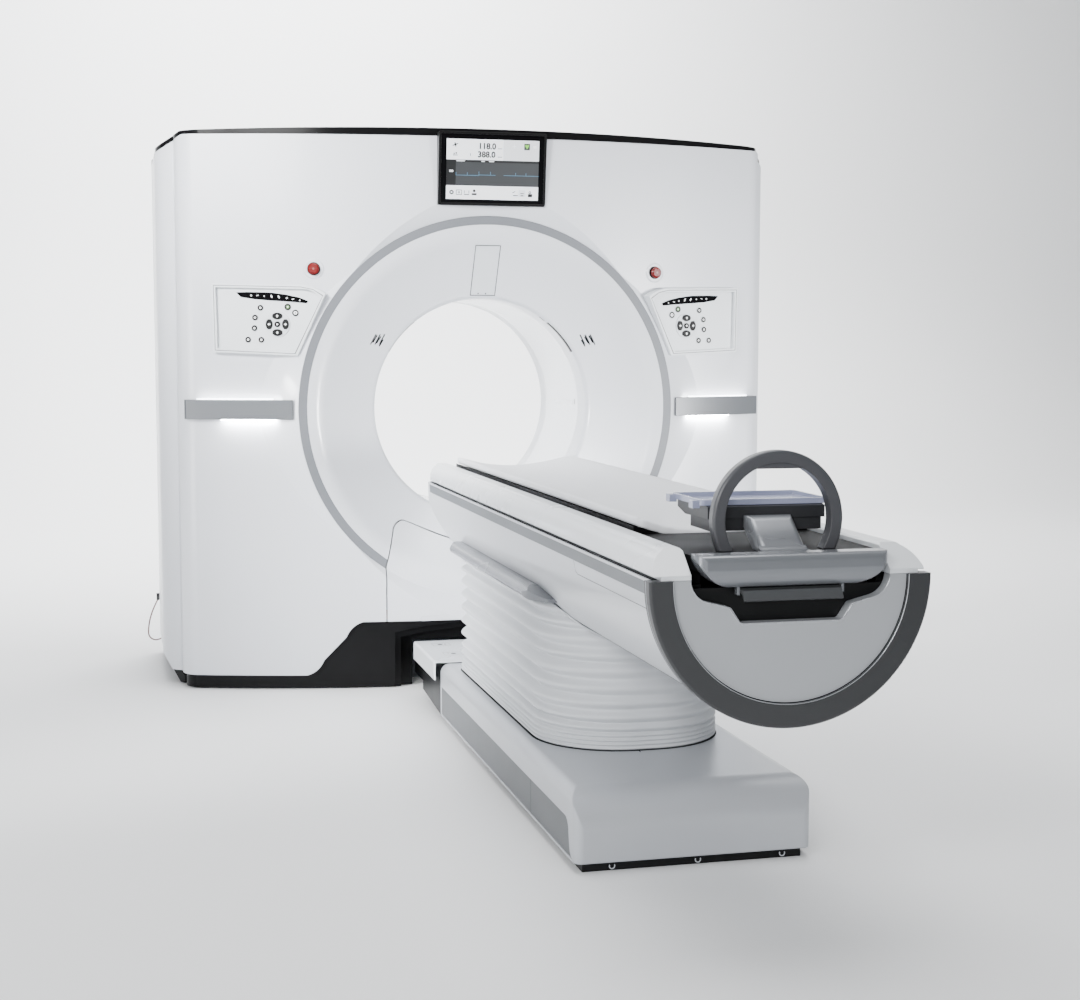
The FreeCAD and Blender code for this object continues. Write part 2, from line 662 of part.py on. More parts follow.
def rotor_drum():
    """Rotating plate with its rim and the bearing's inner race."""
    plate = annulus(DRUM_R, DRUM_BORE, DRUM_Y, DRUM_Y + DRUM_T)
    rim = annulus(DRUM_R, DRUM_R - 20.0, DRUM_Y - 10.0, DRUM_Y + DRUM_T + 10.0)
    race = annulus(RACE_R, RACE_R - RACE_T, DRUM_Y + DRUM_T - 1.0, PLATE_Y - 4.0)
    drum = plate.fuse([rim, race, balance_weight()])
    for angle in range(0, 360, 45):
        hole = disc(70.0, DRUM_Y - 20.0, DRUM_Y + 60.0, x=740.0, z=0.0)
        hole.rotate(V(0, 0, 0), V(0, 1, 0), angle + 22.5)
        hole.translate(V(0, 0, BORE_Z))
        drum = drum.cut(hole)
    return drum.removeSplitter()


def slip_ring():
    """Stacked contact rings behind the drum."""
    ring = annulus(540.0, 450.0, DRUM_Y + DRUM_T, PLATE_Y + PLATE_T + 40.0)
    for index in range(4):
        y = PLATE_Y + 10.0 + index * 16.0
        ring = ring.cut(annulus(541.0, 534.0, y, y + 8.0))
    return ring


def xray_tube():
    """Tube housing with its end domes and the beam port that looks at the isocentre."""
    z = BORE_Z + 660.0
    body = disc(95.0, -190.0, DRUM_Y, z=z)
    collar = disc(110.0, -120.0, -60.0, z=z)
    port = box(-80.0, 80.0, -150.0, -30.0, z - 150.0, z - 80.0)
    return body.fuse([collar, port]).removeSplitter()


def detector_arc():
    """Detector modules on an arc centred on the focal spot."""
    spot = BORE_Z + 660.0
    radius = 1240.0
    ring = disc(radius + 60.0, -150.0, DRUM_Y, z=spot).cut(disc(radius, -160.0, DRUM_Y + 10, z=spot))
    wedge = prism_y([(0.0, spot), (-720.0, spot - 1500.0), (720.0, spot - 1500.0)], -160.0, DRUM_Y + 10)
    return ring.common(wedge)


def hv_generator():
    """High-voltage generator on the drum's left, with cooling fins."""
    tank = box(-790.0, -560.0, -180.0, DRUM_Y, BORE_Z - 170.0, BORE_Z + 170.0)
    fins = [box(-770.0 + i * 30.0, -760.0 + i * 30.0, -200.0, -178.0, BORE_Z - 150.0, BORE_Z + 150.0)
            for i in range(7)]
    return tank.fuse(fins)


def balance_weight():
    """Power supply and balance weights on the drum's right."""
    case = box(570.0, 780.0, -150.0, DRUM_Y, BORE_Z - 150.0, BORE_Z + 150.0)
    slabs = [box(600.0, 750.0, -190.0, -149.0, BORE_Z - 120.0 + i * 85.0, BORE_Z - 50.0 + i * 85.0)
             for i in range(3)]
    return case.fuse(slabs)


# ---- controls on the front ----

def pod_place(shape, side):
    """Puts a shape made on the pod's own axes (u inwards, v up, w outwards) on the cover."""
    placed = shape.copy()
    if side > 0:
        placed = placed.mirror(V(0, 0, 0), V(1, 0, 0))
    placed.rotate(V(0, 0, 0), V(0, 0, 1), side * POD_TURN)
    placed.translate(V(side * POD_X, POD_Y, POD_Z))
    return placed


def pod_outline(inset):
    i = inset
    return [(-231.0 + i, 144.0 - i), (85.0, 138.0 - i),
            ((132.0 - i * 0.3, 129.0 - i), (173.0 - i * 1.3, 107.5 - i)),
            (72.0 - i * 1.2, -110.6 + i), (-227.5 + i, -98.5 + i)]


def pod_blank(inset, w0, w1):
    """The pod's outline carried along w; its outside is -y on the pod's own axes."""
    return prism_y(pod_outline(inset), -w1, -w0)


def pod_seat():
    """The cover's own form brought onto the pod's axes, so that the rim closes on it."""
    seat = cover_solid(-SEAT, 0.0)
    seat.translate(V(POD_X, -POD_Y, -POD_Z))
    seat.rotate(V(0, 0, 0), V(0, 0, 1), POD_TURN)
    return seat


def pod_socket():
    """The hole that the pod's neck passes through the cover."""
    return pod_blank(24.0 - SEAT, -POD_DEPTH - 20.0, 5.0)


def lens_key(length, width, w0, w1, grow):
    """A key shaped like a lens: two arcs meeting at blunt ends."""
    a = length / 2 + grow
    b = width / 2 + grow
    tip = b * 0.35
    points = [(-a, -tip), ((0.0, -b), (a, -tip)), (a, tip), ((0.0, b), (-a, tip))]
    return prism_y(points, -w1, -w0)


def pod_key(name, w0, w1, grow=0.0):
    """One moving key of the four-way group, on the pod's own axes."""
    if name == "centre":
        return disc(10.0 + grow, -w1, -w0, x=0.0, z=0.0)
    key = lens_key(35.0, 24.0, w0, w1, grow)
    if name in ("in", "out"):
        key.rotate(V(0, 0, 0), V(0, 1, 0), 90)
    du = {"in": KEY_RING_R, "out": -KEY_RING_R}.get(name, 0.0)
    dv = {"up": KEY_RING_R, "down": -KEY_RING_R}.get(name, 0.0)
    key.translate(V(du, 0, dv))
    return key


POD_KEYS = ("up", "down", "in", "out", "centre")
SMALL_KEYS = ((-60.0, 58.0, 10.5), (-79.5, 23.6, 10.5), (-82.0, -13.6, 10.5), (-105.0, -54.0, 10.5),
              (-58.0, -54.5, 10.5), (37.0, 61.0, 12.0), (64.0, 40.0, 12.0))


def pod_body():
    """Control pod: rim, dished face, key boss and the lens strip's seat."""
    neck = pod_blank(24.0, -POD_DEPTH, 1.0 - POD_DISH - 4.0)
    body = pod_blank(0.0, -POD_DEPTH, 0.0).cut(pod_seat()).fuse(neck)
    body = body.cut(pod_blank(POD_RIM, -POD_DISH, 5.0))
    floor = -POD_DISH
    body = body.fuse(disc(BOSS_R, -(floor + BOSS_T), -(floor - 1.0), x=0.0, z=0.0))
    for u, v, r in SMALL_KEYS:
        body = body.fuse(disc(r, -(floor + 3.0), -(floor - 1.0), x=u, z=v))
    strip = prism_y([(-146.0, 112.0), ((-20.0, 111.0), (110.0, 82.0)), (104.0, 74.0), ((-30.0, 84.0),
                    (-130.0, 96.0))], -(floor + 2.0), -(floor - 1.0))
    body = body.fuse(strip)
    for name in POD_KEYS:
        body = body.cut(pod_key(name, floor + BOSS_T - KEY_SEAT - KEY_TRAVEL - 1.0, floor + 20.0, KEY_GAP))
    return body.removeSplitter()


def pod_key_solid(name):
    top = -POD_DISH + BOSS_T + KEY_T
    return pod_key(name, -POD_DISH + BOSS_T - KEY_SEAT, top)


def estop_button(side):
    """Mushroom button: domed head, skirt and stem."""
    foot, out = estop_axis(side)
    base = FLANGE_T + ESTOP_TRAVEL + 1.0
    stem = Part.makeCylinder(ESTOP_STEM_R, base + 16.0, foot - out * 14.0, out)
    head = Part.makeCylinder(ESTOP_HEAD_R, 8.0, foot + out * base, out)
    dome = Part.makeCone(ESTOP_HEAD_R, ESTOP_HEAD_R - 6.0, 5.0, foot + out * (base + 8.0), out)
    return stem.fuse([head, dome]).removeSplitter()


def display_housing():
    def is_side_edge(e):
        a, b = e.Vertexes[0].Point, e.Vertexes[-1].Point
        return abs(a.x - b.x) < 0.01 and min(a.y, b.y) < DISPLAY_BACK_Y - 1 and abs(a.z - b.z) < 1
    return fillet_where(display_block(0.0), 8.0, is_side_edge).cut(display_glass_block(SEAT))


def display_glass_block(grow):
    """The glass lies on the leaning face, inside a narrow bezel."""
    lean = (DISPLAY_LOW_Y - DISPLAY_TOP_Y) / (DISPLAY_TOP - DISPLAY_LOW)
    half = DISPLAY_W / 2 - 9.0 + grow
    top, low = DISPLAY_TOP - 9.0 + grow, DISPLAY_LOW + 9.0 - grow
    y_top = DISPLAY_TOP_Y + (DISPLAY_TOP - top) * lean
    y_low = DISPLAY_TOP_Y + (DISPLAY_TOP - low) * lean
    deep = 4.0 + grow
    return prism_x([(y_top - grow, top), (y_low - grow, low), (y_low + deep, low), (y_top + deep, top)],
                   -half, half)


def ledge_right():
    """Satin hand ledge: a bar that follows the bow, closed on the cover behind it."""
    mid_x = (LEDGE_IN_X + LEDGE_OUT_X) / 2
    inner = [(LEDGE_IN_X, bow_y(LEDGE_IN_X) + 20.0), (LEDGE_OUT_X - 30.0, LEDGE_OUT_Y + 46.0),
             (LEDGE_OUT_X, LEDGE_OUT_Y + 12.0)]
    outer = [((LEDGE_OUT_X - 2.0, LEDGE_OUT_Y + 3.0), (LEDGE_OUT_X - 9.0, LEDGE_OUT_Y - 3.0)),
             ((mid_x, (LEDGE_IN_Y + LEDGE_OUT_Y) / 2 - 9.0), (LEDGE_IN_X, LEDGE_IN_Y))]
    bar = prism_z(inner + outer, LEDGE_LOW, LEDGE_TOP)
    return bar.cut(cover_solid(-SEAT, 0.0))


# ---- cord loop ----

CORD_OUT = ((5.0, 214.0), (20.0, 184.0), (32.0, 152.0), (41.0, 116.0), (44.5, 72.0), (29.1, 53.6),
            (5.4, 49.4), (-15.4, 61.4))
CORD_ROUTE = [(-SIDE_X - out, z) for out, z in CORD_OUT]


def cord_bends(points):
    """Radius and trim of the arc at each inner point: 0.45 of the shorter run."""
    bends = []
    for a, b, c in zip(points, points[1:], points[2:]):
        u, w = (a - b), (c - b)
        turn = math.pi - u.getAngle(w)
        trim = 0.45 * min(u.Length, w.Length)
        bends.append((trim, trim / math.tan(turn / 2)))
    return bends


def service_cord():
    """A short dark cord that loops from the socket back into the plinth."""
    points = [V(x, CORD_Y, z) for x, z in CORD_ROUTE]
    bends = cord_bends(points)
    print("cord radii", [round(radius, 1) for _, radius in bends])
    edges = []
    last = points[0]
    for index, (trim, radius) in enumerate(bends):
        a, b, c = points[index:index + 3]
        into, away = (b - a).normalize(), (c - b).normalize()
        start, end = b - into * trim, b + away * trim
        bisector = (away - into).normalize()
        turn = into.getAngle(away)
        mid = b + bisector * (radius / math.cos(turn / 2) - radius)
        edges.append(Part.LineSegment(last, start).toShape())
        edges.append(Part.Arc(start, mid, end).toShape())
        last = end
    edges.append(Part.LineSegment(last, points[-1]).toShape())
    path = Part.Wire(edges)
    first = (points[1] - points[0]).normalize()
    profile = Part.Wire([Part.Circle(points[0], first, CORD_R).toShape()])
    cord = path.makePipeShell([profile], True, False)
    print("cord volume ratio", round(cord.Volume / (math.pi * CORD_R ** 2 * path.Length), 4))
    return cord


def cord_glands():
    """The elbow plug on the side cover and the grommet where the cord goes back in."""
    x0, z0 = CORD_ROUTE[0]
    x1, z1 = CORD_ROUTE[1]
    down = V(x1 - x0, 0, z1 - z0).normalize()
    plug = Part.makeCone(9.0, 5.5, 22.0, V(x0, CORD_Y, z0) - down * 22.0, down)
    shelf = box(-SIDE_X - 9.0, side_wall_x(), CORD_Y - 8.0, CORD_Y + 8.0, z0 + 8.0, z0 + 26.0)
    x2, z2 = CORD_ROUTE[-1]
    x3, z3 = CORD_ROUTE[-2]
    back = V(x2 - x3, 0, z2 - z3).normalize()
    grommet = Part.makeCylinder(6.0, 14.0, V(x2, CORD_Y, z2), back)
    cover = mirrored(side_cover_right())
    return Part.makeCompound([plug.fuse(shelf).cut(cover).Solids[0], grommet.cut(cover).Solids[0]])


def side_wall_x():
    return -(SIDE_X - 16.0) + 4.0


# ---- table: base ----

def base_block(inset, z0):
    """The base cover's outer form: a low box with a big radius over its near end."""
    half = BASE_HALF_W - inset
    near = BASE_NEAR + inset
    top = BASE_TOP - inset
    radius = BASE_NEAR_R - inset
    k = radius * (1 - math.sqrt(0.5))
    points = [(BASE_FAR, z0), (BASE_FAR, top), (near + radius, top),
              ((near + k, top - k), (near, top - radius)), (near, z0)]
    block = prism_x(points, -half, half)
    edge = BASE_EDGE_R - inset
    e = edge * (1 - math.sqrt(0.5))
    section = prism_y([(-half, z0), (-half, top - edge), ((-half + e, top - e), (-half + edge, top)),
                       (half - edge, top), ((half - e, top - e), (half, top - edge)), (half, z0)], near, 0.0)
    corner = BASE_CORNER_R - inset
    c = corner * (1 - math.sqrt(0.5))
    plan = prism_z([(-half, 0.0), (-half, near + corner), ((-half + c, near + c), (-half + corner, near)),
                    (half - corner, near), ((half - c, near + c), (half, near + corner)), (half, 0.0)],
                   z0, top + 1.0)
    return block.common(section).common(plan)


def panel_outline(inset):
    i = inset
    return [(BASE_FAR - 14.0 - i, PANEL_LOW + i), (BASE_FAR - 14.0 - i, PANEL_TOP - i),
            (PANEL_NEAR + 34.0, PANEL_TOP - i),
            ((PANEL_NEAR + 10.0 + i, PANEL_TOP - 10.0 - i), (PANEL_NEAR + i, PANEL_TOP - 34.0)),
            (PANEL_NEAR - 8.0 + i, PANEL_LOW + 24.0), ((PANEL_NEAR - 16.5 + i, PANEL_LOW + 8.6 - 0.3 * i),
            (PANEL_NEAR - 34.0 + 8.0 * i, PANEL_LOW + i))]


def base_cover():
    shell = base_block(0.0, BASE_LOW).cut(base_block(BASE_WALL, BASE_LOW - 10.0))
    for side in (-1, 1):
        x = side * BASE_HALF_W
        shell = shell.cut(prism_x(panel_outline(0.0), x - 20.0, x + 20.0))
    opening = box(-190.0, 190.0, COLUMN_Y - 560.0, COLUMN_Y + 560.0, BASE_TOP - 30.0, BASE_TOP + 10.0)
    return shell.cut(opening)


def base_side_panels():
    """Mid-grey inset panels, one on each flank, in two lengths with a hair joint."""
    x = BASE_HALF_W - 1.5
    panel = prism_x(panel_outline(GAP), x - 5.0, x)
    joint = box(x - 2.0, x + 1.0, PANEL_JOINT - 3.0, PANEL_JOINT, PANEL_LOW - 10.0, PANEL_TOP + 10.0)
    return both_sides(panel.cut(joint))


def column_tube(inset, z0, z1):
    hx, hy = COLUMN_HALF_X - inset, COLUMN_HALF_Y - inset
    outer = box(-hx, hx, COLUMN_Y - hy, COLUMN_Y + hy, z0, z1)
    w = COLUMN_WALL
    return outer.cut(box(-hx + w, hx - w, COLUMN_Y - hy + w, COLUMN_Y + hy - w, z0 - 1.0, z1 + 1.0))


def base_frame():
    """Black floor pan, fixed column tube, lift screw and the duct that runs to the gantry."""
    half = BASE_HALF_W - KICK_IN
    pan = box(-half, half, BASE_NEAR + KICK_IN - 6.0, BASE_FAR + 8.0, 0.0, PAN_T)
    posts = [box(x - 20.0, x + 20.0, y - 20.0, y + 20.0, PAN_T - 1.0, BASE_TOP - BASE_WALL - GAP)
             for x in (-190.0, 190.0) for y in (BASE_NEAR + 140.0, BASE_FAR - 60.0)]
    clips = [box(side * 285.0 - 8.0, side * 285.0 + 8.0, y - 30.0, y + 30.0, 20.0, 60.0)
             for side in (-1, 1) for y in (-2500.0, -1900.0, -1300.0)]
    column = column_tube(0.0, PAN_T - 1.0, OUTER_TOP)
    screw = Part.makeCylinder(16.0, BEAM_LOW - LIFT_DOWN - PAN_T - 18.0, V(0, COLUMN_Y, PAN_T - 1.0))
    duct = box(-DUCT_HALF_W, DUCT_HALF_W, BASE_FAR + 2.0, FRAME_FRONT, 20.0, 136.0)
    duct = duct.cut(box(-DUCT_HALF_W + 6, DUCT_HALF_W - 6, BASE_FAR, FRAME_FRONT + 5, 26.0, 130.0))
    rests = box(-200.0, 200.0, BASE_FAR + 40.0, BRIDGE_FAR - 60.0, 135.0, BRIDGE_TOP - 4.0 - GAP)
    wing = prism_x([(BASE_FAR + 4.0, 22.0), (BASE_FAR + 4.0, 136.0), (-760.0, 136.0), (-752.0, 44.0)],
                   DUCT_HALF_W - 1.0, BASE_HALF_W - 2.0)
    pan = pan.fuse(posts + clips + [column, screw, duct, rests] + both_sides(wing).Solids)
    for x in (-240.0, 240.0):
        for y in (-2650.0, -1250.0):
            pan = pan.cut(Part.makeCylinder(7.0, 40.0, V(x, y, -5.0)))
    return pan.removeSplitter()


def bridge_cover():
    """White box over the cables between the table and the gantry."""
    half = BRIDGE_HALF_W
    top = fillet_where(box(-half, half, BASE_FAR + GAP, BRIDGE_FAR, BRIDGE_LOW, BRIDGE_TOP), 8.0,
                       lambda e: min(v.Point.z for v in e.Vertexes) > BRIDGE_TOP - 1 or is_vertical(e))
    inner = box(-half + 4, half - 4, BASE_FAR - 10, BRIDGE_FAR - 4, BRIDGE_LOW - 5, BRIDGE_TOP - 4)
    return top.cut(inner)


# ---- table: lift ----

def lift_middle_column():
    return column_tube(COLUMN_WALL + COLUMN_GAP, MIDDLE_LOW, MIDDLE_TOP)


def deck_section():
    """Cross-section of the table frame's deck with its centre trough."""
    d = DECK_T
    top = [(-214.0, DECK_Z), (-142.0, DECK_Z), (-120.0, TROUGH_Z), (120.0, TROUGH_Z), (142.0, DECK_Z),
           (214.0, DECK_Z)]
    low = [(214.0, DECK_Z - d), (147.0, DECK_Z - d), (125.0, TROUGH_Z - d), (-125.0, TROUGH_Z - d),
           (-147.0, DECK_Z - d), (-214.0, DECK_Z - d)]
    return top + low


def table_frame():
    """Inner column tube, box beam, deck with trough, and the cradle's two guides."""
    deck = prism_y(deck_section(), HULL_NEAR + 14.0, HULL_FAR - 110.0)
    guide = box(176.0, 194.0, HULL_NEAR + 30.0, HULL_FAR - 140.0, DECK_Z - 1.0, GUIDE_TOP)
    web = box(BEAM_HALF - 12.0, BEAM_HALF, HULL_NEAR + 172.0, HULL_FAR - 290.0,
              BEAM_LOW, DECK_Z - DECK_T + 1.0)
    floor = box(-BEAM_HALF, BEAM_HALF, COLUMN_Y - 330.0, COLUMN_Y + 330.0, BEAM_LOW, BEAM_LOW + 14.0)
    tube = column_tube(2 * (COLUMN_WALL + COLUMN_GAP), INNER_LOW, BEAM_LOW + 1.0)
    ribs = [box(-BEAM_HALF, BEAM_HALF, y, y + 10.0, TROUGH_Z - 70.0, TROUGH_Z - DECK_T + 1.0)
            for y in (HULL_NEAR + 182.0, COLUMN_Y - 735.0, HULL_FAR - 310.0)]
    wing = box(206.0, 286.0, HULL_NEAR + 14.0, HULL_FAR - 170.0, HULL_TOP - 24.0, HULL_TOP)
    link = box(206.0, 214.0, HULL_NEAR + 14.0, HULL_FAR - 170.0, DECK_Z - DECK_T, HULL_TOP - 20.0)
    tub = prism_y(tub_outline(), HULL_NEAR + 1.0, HULL_NEAR + 15.0)
    frame = deck.fuse(both_sides(guide).Solids + both_sides(web).Solids + both_sides(link).Solids + ribs)
    return frame.fuse(both_sides(wing).Solids + [floor, tube, tub]).removeSplitter()


def tub_outline():
    """The tub's end plate: a little larger than the notch in the end panel ahead of it."""
    g = 6.0
    top = DECK_Z + 6.0
    right = [(NOTCH_X - 3.0, top), (NOTCH_X - 3.0, NOTCH_EAR_Z - g), (NOTCH_STEP_X + g, NOTCH_STEP_Z - g),
             (NOTCH_LOW_X + g, NOTCH_LOW_Z - g)]
    return right + [(-x, z) for x, z in reversed(right)]


def plan_block(half, y_far, y_near, z0, z1, radius):
    """A long block whose far end is rounded in plan."""
    k = radius * (1 - math.sqrt(0.5))
    points = [(-half, y_near), (-half, y_far - radius), ((-half + k, y_far - k), (-half + radius, y_far)),
              (half - radius, y_far), ((half - k, y_far - k), (half, y_far - radius)), (half, y_near)]
    return prism_z(points, z0, z1)


def hull_block(inset):
    """Half-round hull with a raked, rounded far end."""
    r = HULL_R - inset
    low = HULL_Z - r
    y = HULL_FAR - inset
    section = prism_y([(-r, HULL_Z + 60.0), (-r, HULL_Z), ((0.0, low), (r, HULL_Z)), (r, HULL_Z + 60.0)],
                      HULL_NEAR - inset * 2, 0.0)
    rake = prism_x([(HULL_NEAR - 50.0, HULL_Z + 60.0), (HULL_NEAR - 50.0, low - 20.0),
                    (y - 275.0, low - 20.0), ((y - 95.0, HULL_Z - 110.0), (y, HULL_TOP)),
                    (y, HULL_Z + 60.0)], -r - 20.0, r + 20.0)
    plan = plan_block(r + 2.0, y, HULL_NEAR - 60.0, 0.0, HULL_Z + 60.0, HULL_PLAN_R)
    return section.common(rake).common(plan)


def hull_shell():
    hull = hull_block(0.0).cut(hull_block(HULL_WALL))
    hull = hull.common(box(-400, 400, HULL_NEAR, 0, 0, HULL_TOP))
    opening = box(-BEAM_HALF - 8, BEAM_HALF + 8, COLUMN_Y - 340, COLUMN_Y + 340, 0, BEAM_LOW + 20)
    passage = box(-RAIL_IN + 2.0, RAIL_IN - 2.0, HULL_FAR - 210.0, HULL_FAR + 20.0,
                  GUIDE_TOP - 4.0, HULL_TOP + 10.0)
    return hull.cut(opening).cut(passage)


def end_frame():
    """Dark half-round band that closes the near end."""
    def half_disc(radius, y0, y1):
        top = HULL_TOP
        return prism_y([(-radius, top), (-radius, HULL_Z), ((0.0, HULL_Z - radius), (radius, HULL_Z)),
                        (radius, top)], y0, y1)
    band = half_disc(END_R, END_Y, HULL_NEAR - GAP)
    edges = [e for e in band.Edges if abs(e.Vertexes[0].Point.y - END_Y) < 0.1
             and abs(e.Vertexes[-1].Point.y - END_Y) < 0.1 and e.BoundBox.ZMin < HULL_Z - 100]
    band = band.makeFillet(6.0, edges)
    return band.cut(half_disc(END_R - END_BAND, END_Y - 10, 0.0))


def end_panel():
    """Light end panel with the notch that the handle bar parks in."""
    r = END_R - END_BAND - GAP
    top = HULL_TOP
    mid = (NOTCH_X - 5.0, NOTCH_EAR_Z + 25.0)
    points = [(-r, top), (-r, HULL_Z), ((0.0, HULL_Z - r), (r, HULL_Z)), (r, top), (NOTCH_X, top),
              (mid, (180.0, NOTCH_EAR_Z)), (NOTCH_STEP_X, NOTCH_STEP_Z), (NOTCH_LOW_X, NOTCH_LOW_Z),
              (-NOTCH_LOW_X, NOTCH_LOW_Z), (-NOTCH_STEP_X, NOTCH_STEP_Z), (-180.0, NOTCH_EAR_Z),
              ((-mid[0], mid[1]), (-NOTCH_X, top))]
    panel = prism_y(points, END_Y + 8.0, HULL_NEAR - GAP)
    steps = [e for e in panel.Edges if abs(e.Vertexes[0].Point.x - e.Vertexes[-1].Point.x) < 0.01
             and e.BoundBox.YLength > 20.0 and NOTCH_LOW_Z - 1.0 < e.CenterOfMass.z < NOTCH_STEP_Z + 1.0]
    return panel.makeFillet(9.0, steps)


def rail_right():
    """White side rail: sloped outer face, flat top and a bevelled near end."""
    section = [(RAIL_IN, HULL_TOP + SEAT), (RAIL_FOOT, HULL_TOP + SEAT), (RAIL_FOOT, RAIL_LOW),
               (RAIL_OUT, RAIL_LOW), (RAIL_OUT, RAIL_LOW + 8.0),
               ((RAIL_OUT - 10.0, RAIL_LOW + 30.0), (RAIL_OUT - 30.0, RAIL_TOP - 5.0)),
               ((RAIL_OUT - 36.0, RAIL_TOP - 0.5), (RAIL_OUT - 46.0, RAIL_TOP)), (RAIL_IN + 5.0, RAIL_TOP),
               (RAIL_IN, RAIL_TOP - 5.0)]
    rail = prism_y(section, RAIL_NEAR, RAIL_FAR)
    bevel = prism_x([(RAIL_NEAR - 10.0, RAIL_LOW + 2.0), (RAIL_NEAR, RAIL_LOW + 2.0),
                     (RAIL_NEAR + 62.0, RAIL_TOP + 1.0), (RAIL_NEAR - 10.0, RAIL_TOP + 1.0)], 0.0, 400.0)
    plan = plan_block(RAIL_OUT + 1.0, RAIL_FAR, RAIL_NEAR - 50.0, 0.0, 1000.0, HULL_PLAN_R)
    return rail.cut(bevel).common(plan)


def side_grips():
    """Grey satin handles along the hull's flanks, drawn out to a flat nose at the near end."""
    section = [(236.0, 616.0), (258.0, 615.0), ((290.0, 609.0), (300.0, 599.0)),
               ((298.0, 589.0), (283.0, 583.0)), (228.0, 581.0)]
    near, far = GRIP_NEAR, GRIP_FAR
    grip = prism_y(section, near, far)
    plan = prism_z([(200.0, near), (255.0, near), ((283.0, near + 48.0), (303.0, near + 130.0)),
                    (303.0, far - 42.0), (280.0, far), (200.0, far)], 500.0, 700.0)
    nose = prism_x([(near, 583.0), (near, 592.0), ((near + 45.0, 602.0), (near + 125.0, 617.0)),
                    (far, 617.0), (far, 580.0), (near + 110.0, 580.0)], 190.0, 310.0)
    grip = grip.common(plan).common(nose)
    grip = grip.cut(disc(HULL_R + SEAT, near - 100.0, far + 100.0, z=HULL_Z))
    return both_sides(grip)


def round_plan(x, y0, y1, r, q):
    """A plan of half width x from y0 to y1, with corner radius r at the near end and q at the far one."""
    k, m = r * (1 - math.sqrt(0.5)), q * (1 - math.sqrt(0.5))
    near = [(-x, y0 + r), ((-x + k, y0 + k), (-x + r, y0)), (x - r, y0), ((x - k, y0 + k), (x, y0 + r))]
    far = [(x, y1 - q), ((x - m, y1 - m), (x - q, y1)), (-x + q, y1), ((-x + m, y1 - m), (-x, y1 - q))]
    return near + far


def rounded_plan(inset, z):
    """The bellows' outline at one height: a rounded rectangle."""
    points = round_plan(BELLOWS_HALF - inset, BELLOWS_NEAR + inset, BELLOWS_FAR - inset,
                        BELLOWS_NEAR_R - inset, BELLOWS_FAR_R - inset)
    return outline(points, lambda a, b: V(a, b, z))


def bellows_stack(extra):
    """Folds as a ruled loft that swings between the crests and the valleys."""
    low = BASE_TOP + 0.4
    flange = 9.0
    pitch = (BELLOWS_TOP - low - 2 * flange) / BELLOWS_FOLDS
    wires = [rounded_plan(extra, low - (extra > 0)), rounded_plan(extra, low + flange)]
    for fold in range(BELLOWS_FOLDS):
        z = low + flange + fold * pitch
        depth = BELLOWS_FOLD * (0.55 + 0.45 * fold / (BELLOWS_FOLDS - 1))
        wires.append(rounded_plan(extra + depth, z + pitch * 0.42))
        wires.append(rounded_plan(extra + 2.0, z + pitch))
    wires.append(rounded_plan(extra + 2.0, BELLOWS_TOP - BELLOWS_WALL * (extra > 0)))
    return Part.makeLoft(wires, True, True)


def bellows():
    skin = bellows_stack(0.0).cut(bellows_stack(BELLOWS_WALL))
    return skin.cut(disc(HULL_R + 1.0, -3200.0, -900.0, z=HULL_Z))


# ---- cradle and what rides on it ----

def cradle():
    """Black composite cradle: concave under the mattress, flat at the foot."""
    half = CRADLE_HALF
    edge_low, mid_low = 797.0, GUIDE_TOP + 10.0
    runner = box(174.0, 196.0, CRADLE_NEAR + 40.0, -1500.0, GUIDE_TOP + 0.4, CRADLE_DIP)
    body = prism_y([(-half, edge_low), ((0.0, mid_low), (half, edge_low)), (half, CRADLE_EDGE),
                    (-half, CRADLE_EDGE)], CRADLE_NEAR, CRADLE_FAR).fuse(both_sides(runner).Solids)
    dish = prism_y([(-half - 20.0, CRADLE_EDGE + 40.0), (-half, CRADLE_EDGE),
                    ((0.0, CRADLE_DIP), (half, CRADLE_EDGE)), (half + 20.0, CRADLE_EDGE + 40.0)],
                   FOOT_FAR, CRADLE_FAR + 50.0)
    step = box(-half - 20.0, half + 20.0, CRADLE_NEAR - 20.0, FOOT_FAR, FOOT_TOP, CRADLE_EDGE + 40.0)
    plan = plan_block(half, CRADLE_FAR, CRADLE_NEAR - 5.0, 0.0, 1000.0, 110.0)
    return body.cut(dish).cut(step).common(plan).removeSplitter()


def mattress():
    """White pad: concave top with soft raised sides, thinner to its near end."""
    half = CRADLE_HALF - 2.0
    gap = 0.4
    body = prism_y([(-half, CRADLE_EDGE + gap), ((0.0, CRADLE_DIP + gap), (half, CRADLE_EDGE + gap)),
                    (half, PAD_EDGE - 8.0), ((half - 4.0, PAD_EDGE - 1.0), (half - 14.0, PAD_EDGE - 2.0)),
                    ((0.0, PAD_DIP), (-half + 14.0, PAD_EDGE - 2.0)), ((-half + 4.0, PAD_EDGE - 1.0),
                    (-half, PAD_EDGE - 8.0))], FOOT_FAR - 10.0, CRADLE_FAR + 10.0)
    plan = prism_z(round_plan(half - 0.5, FOOT_FAR + 3.0, CRADLE_FAR - 4.0, 34.0, 106.0),
                   CRADLE_DIP - 10.0, PAD_EDGE + 10.0)
    return body.common(plan)


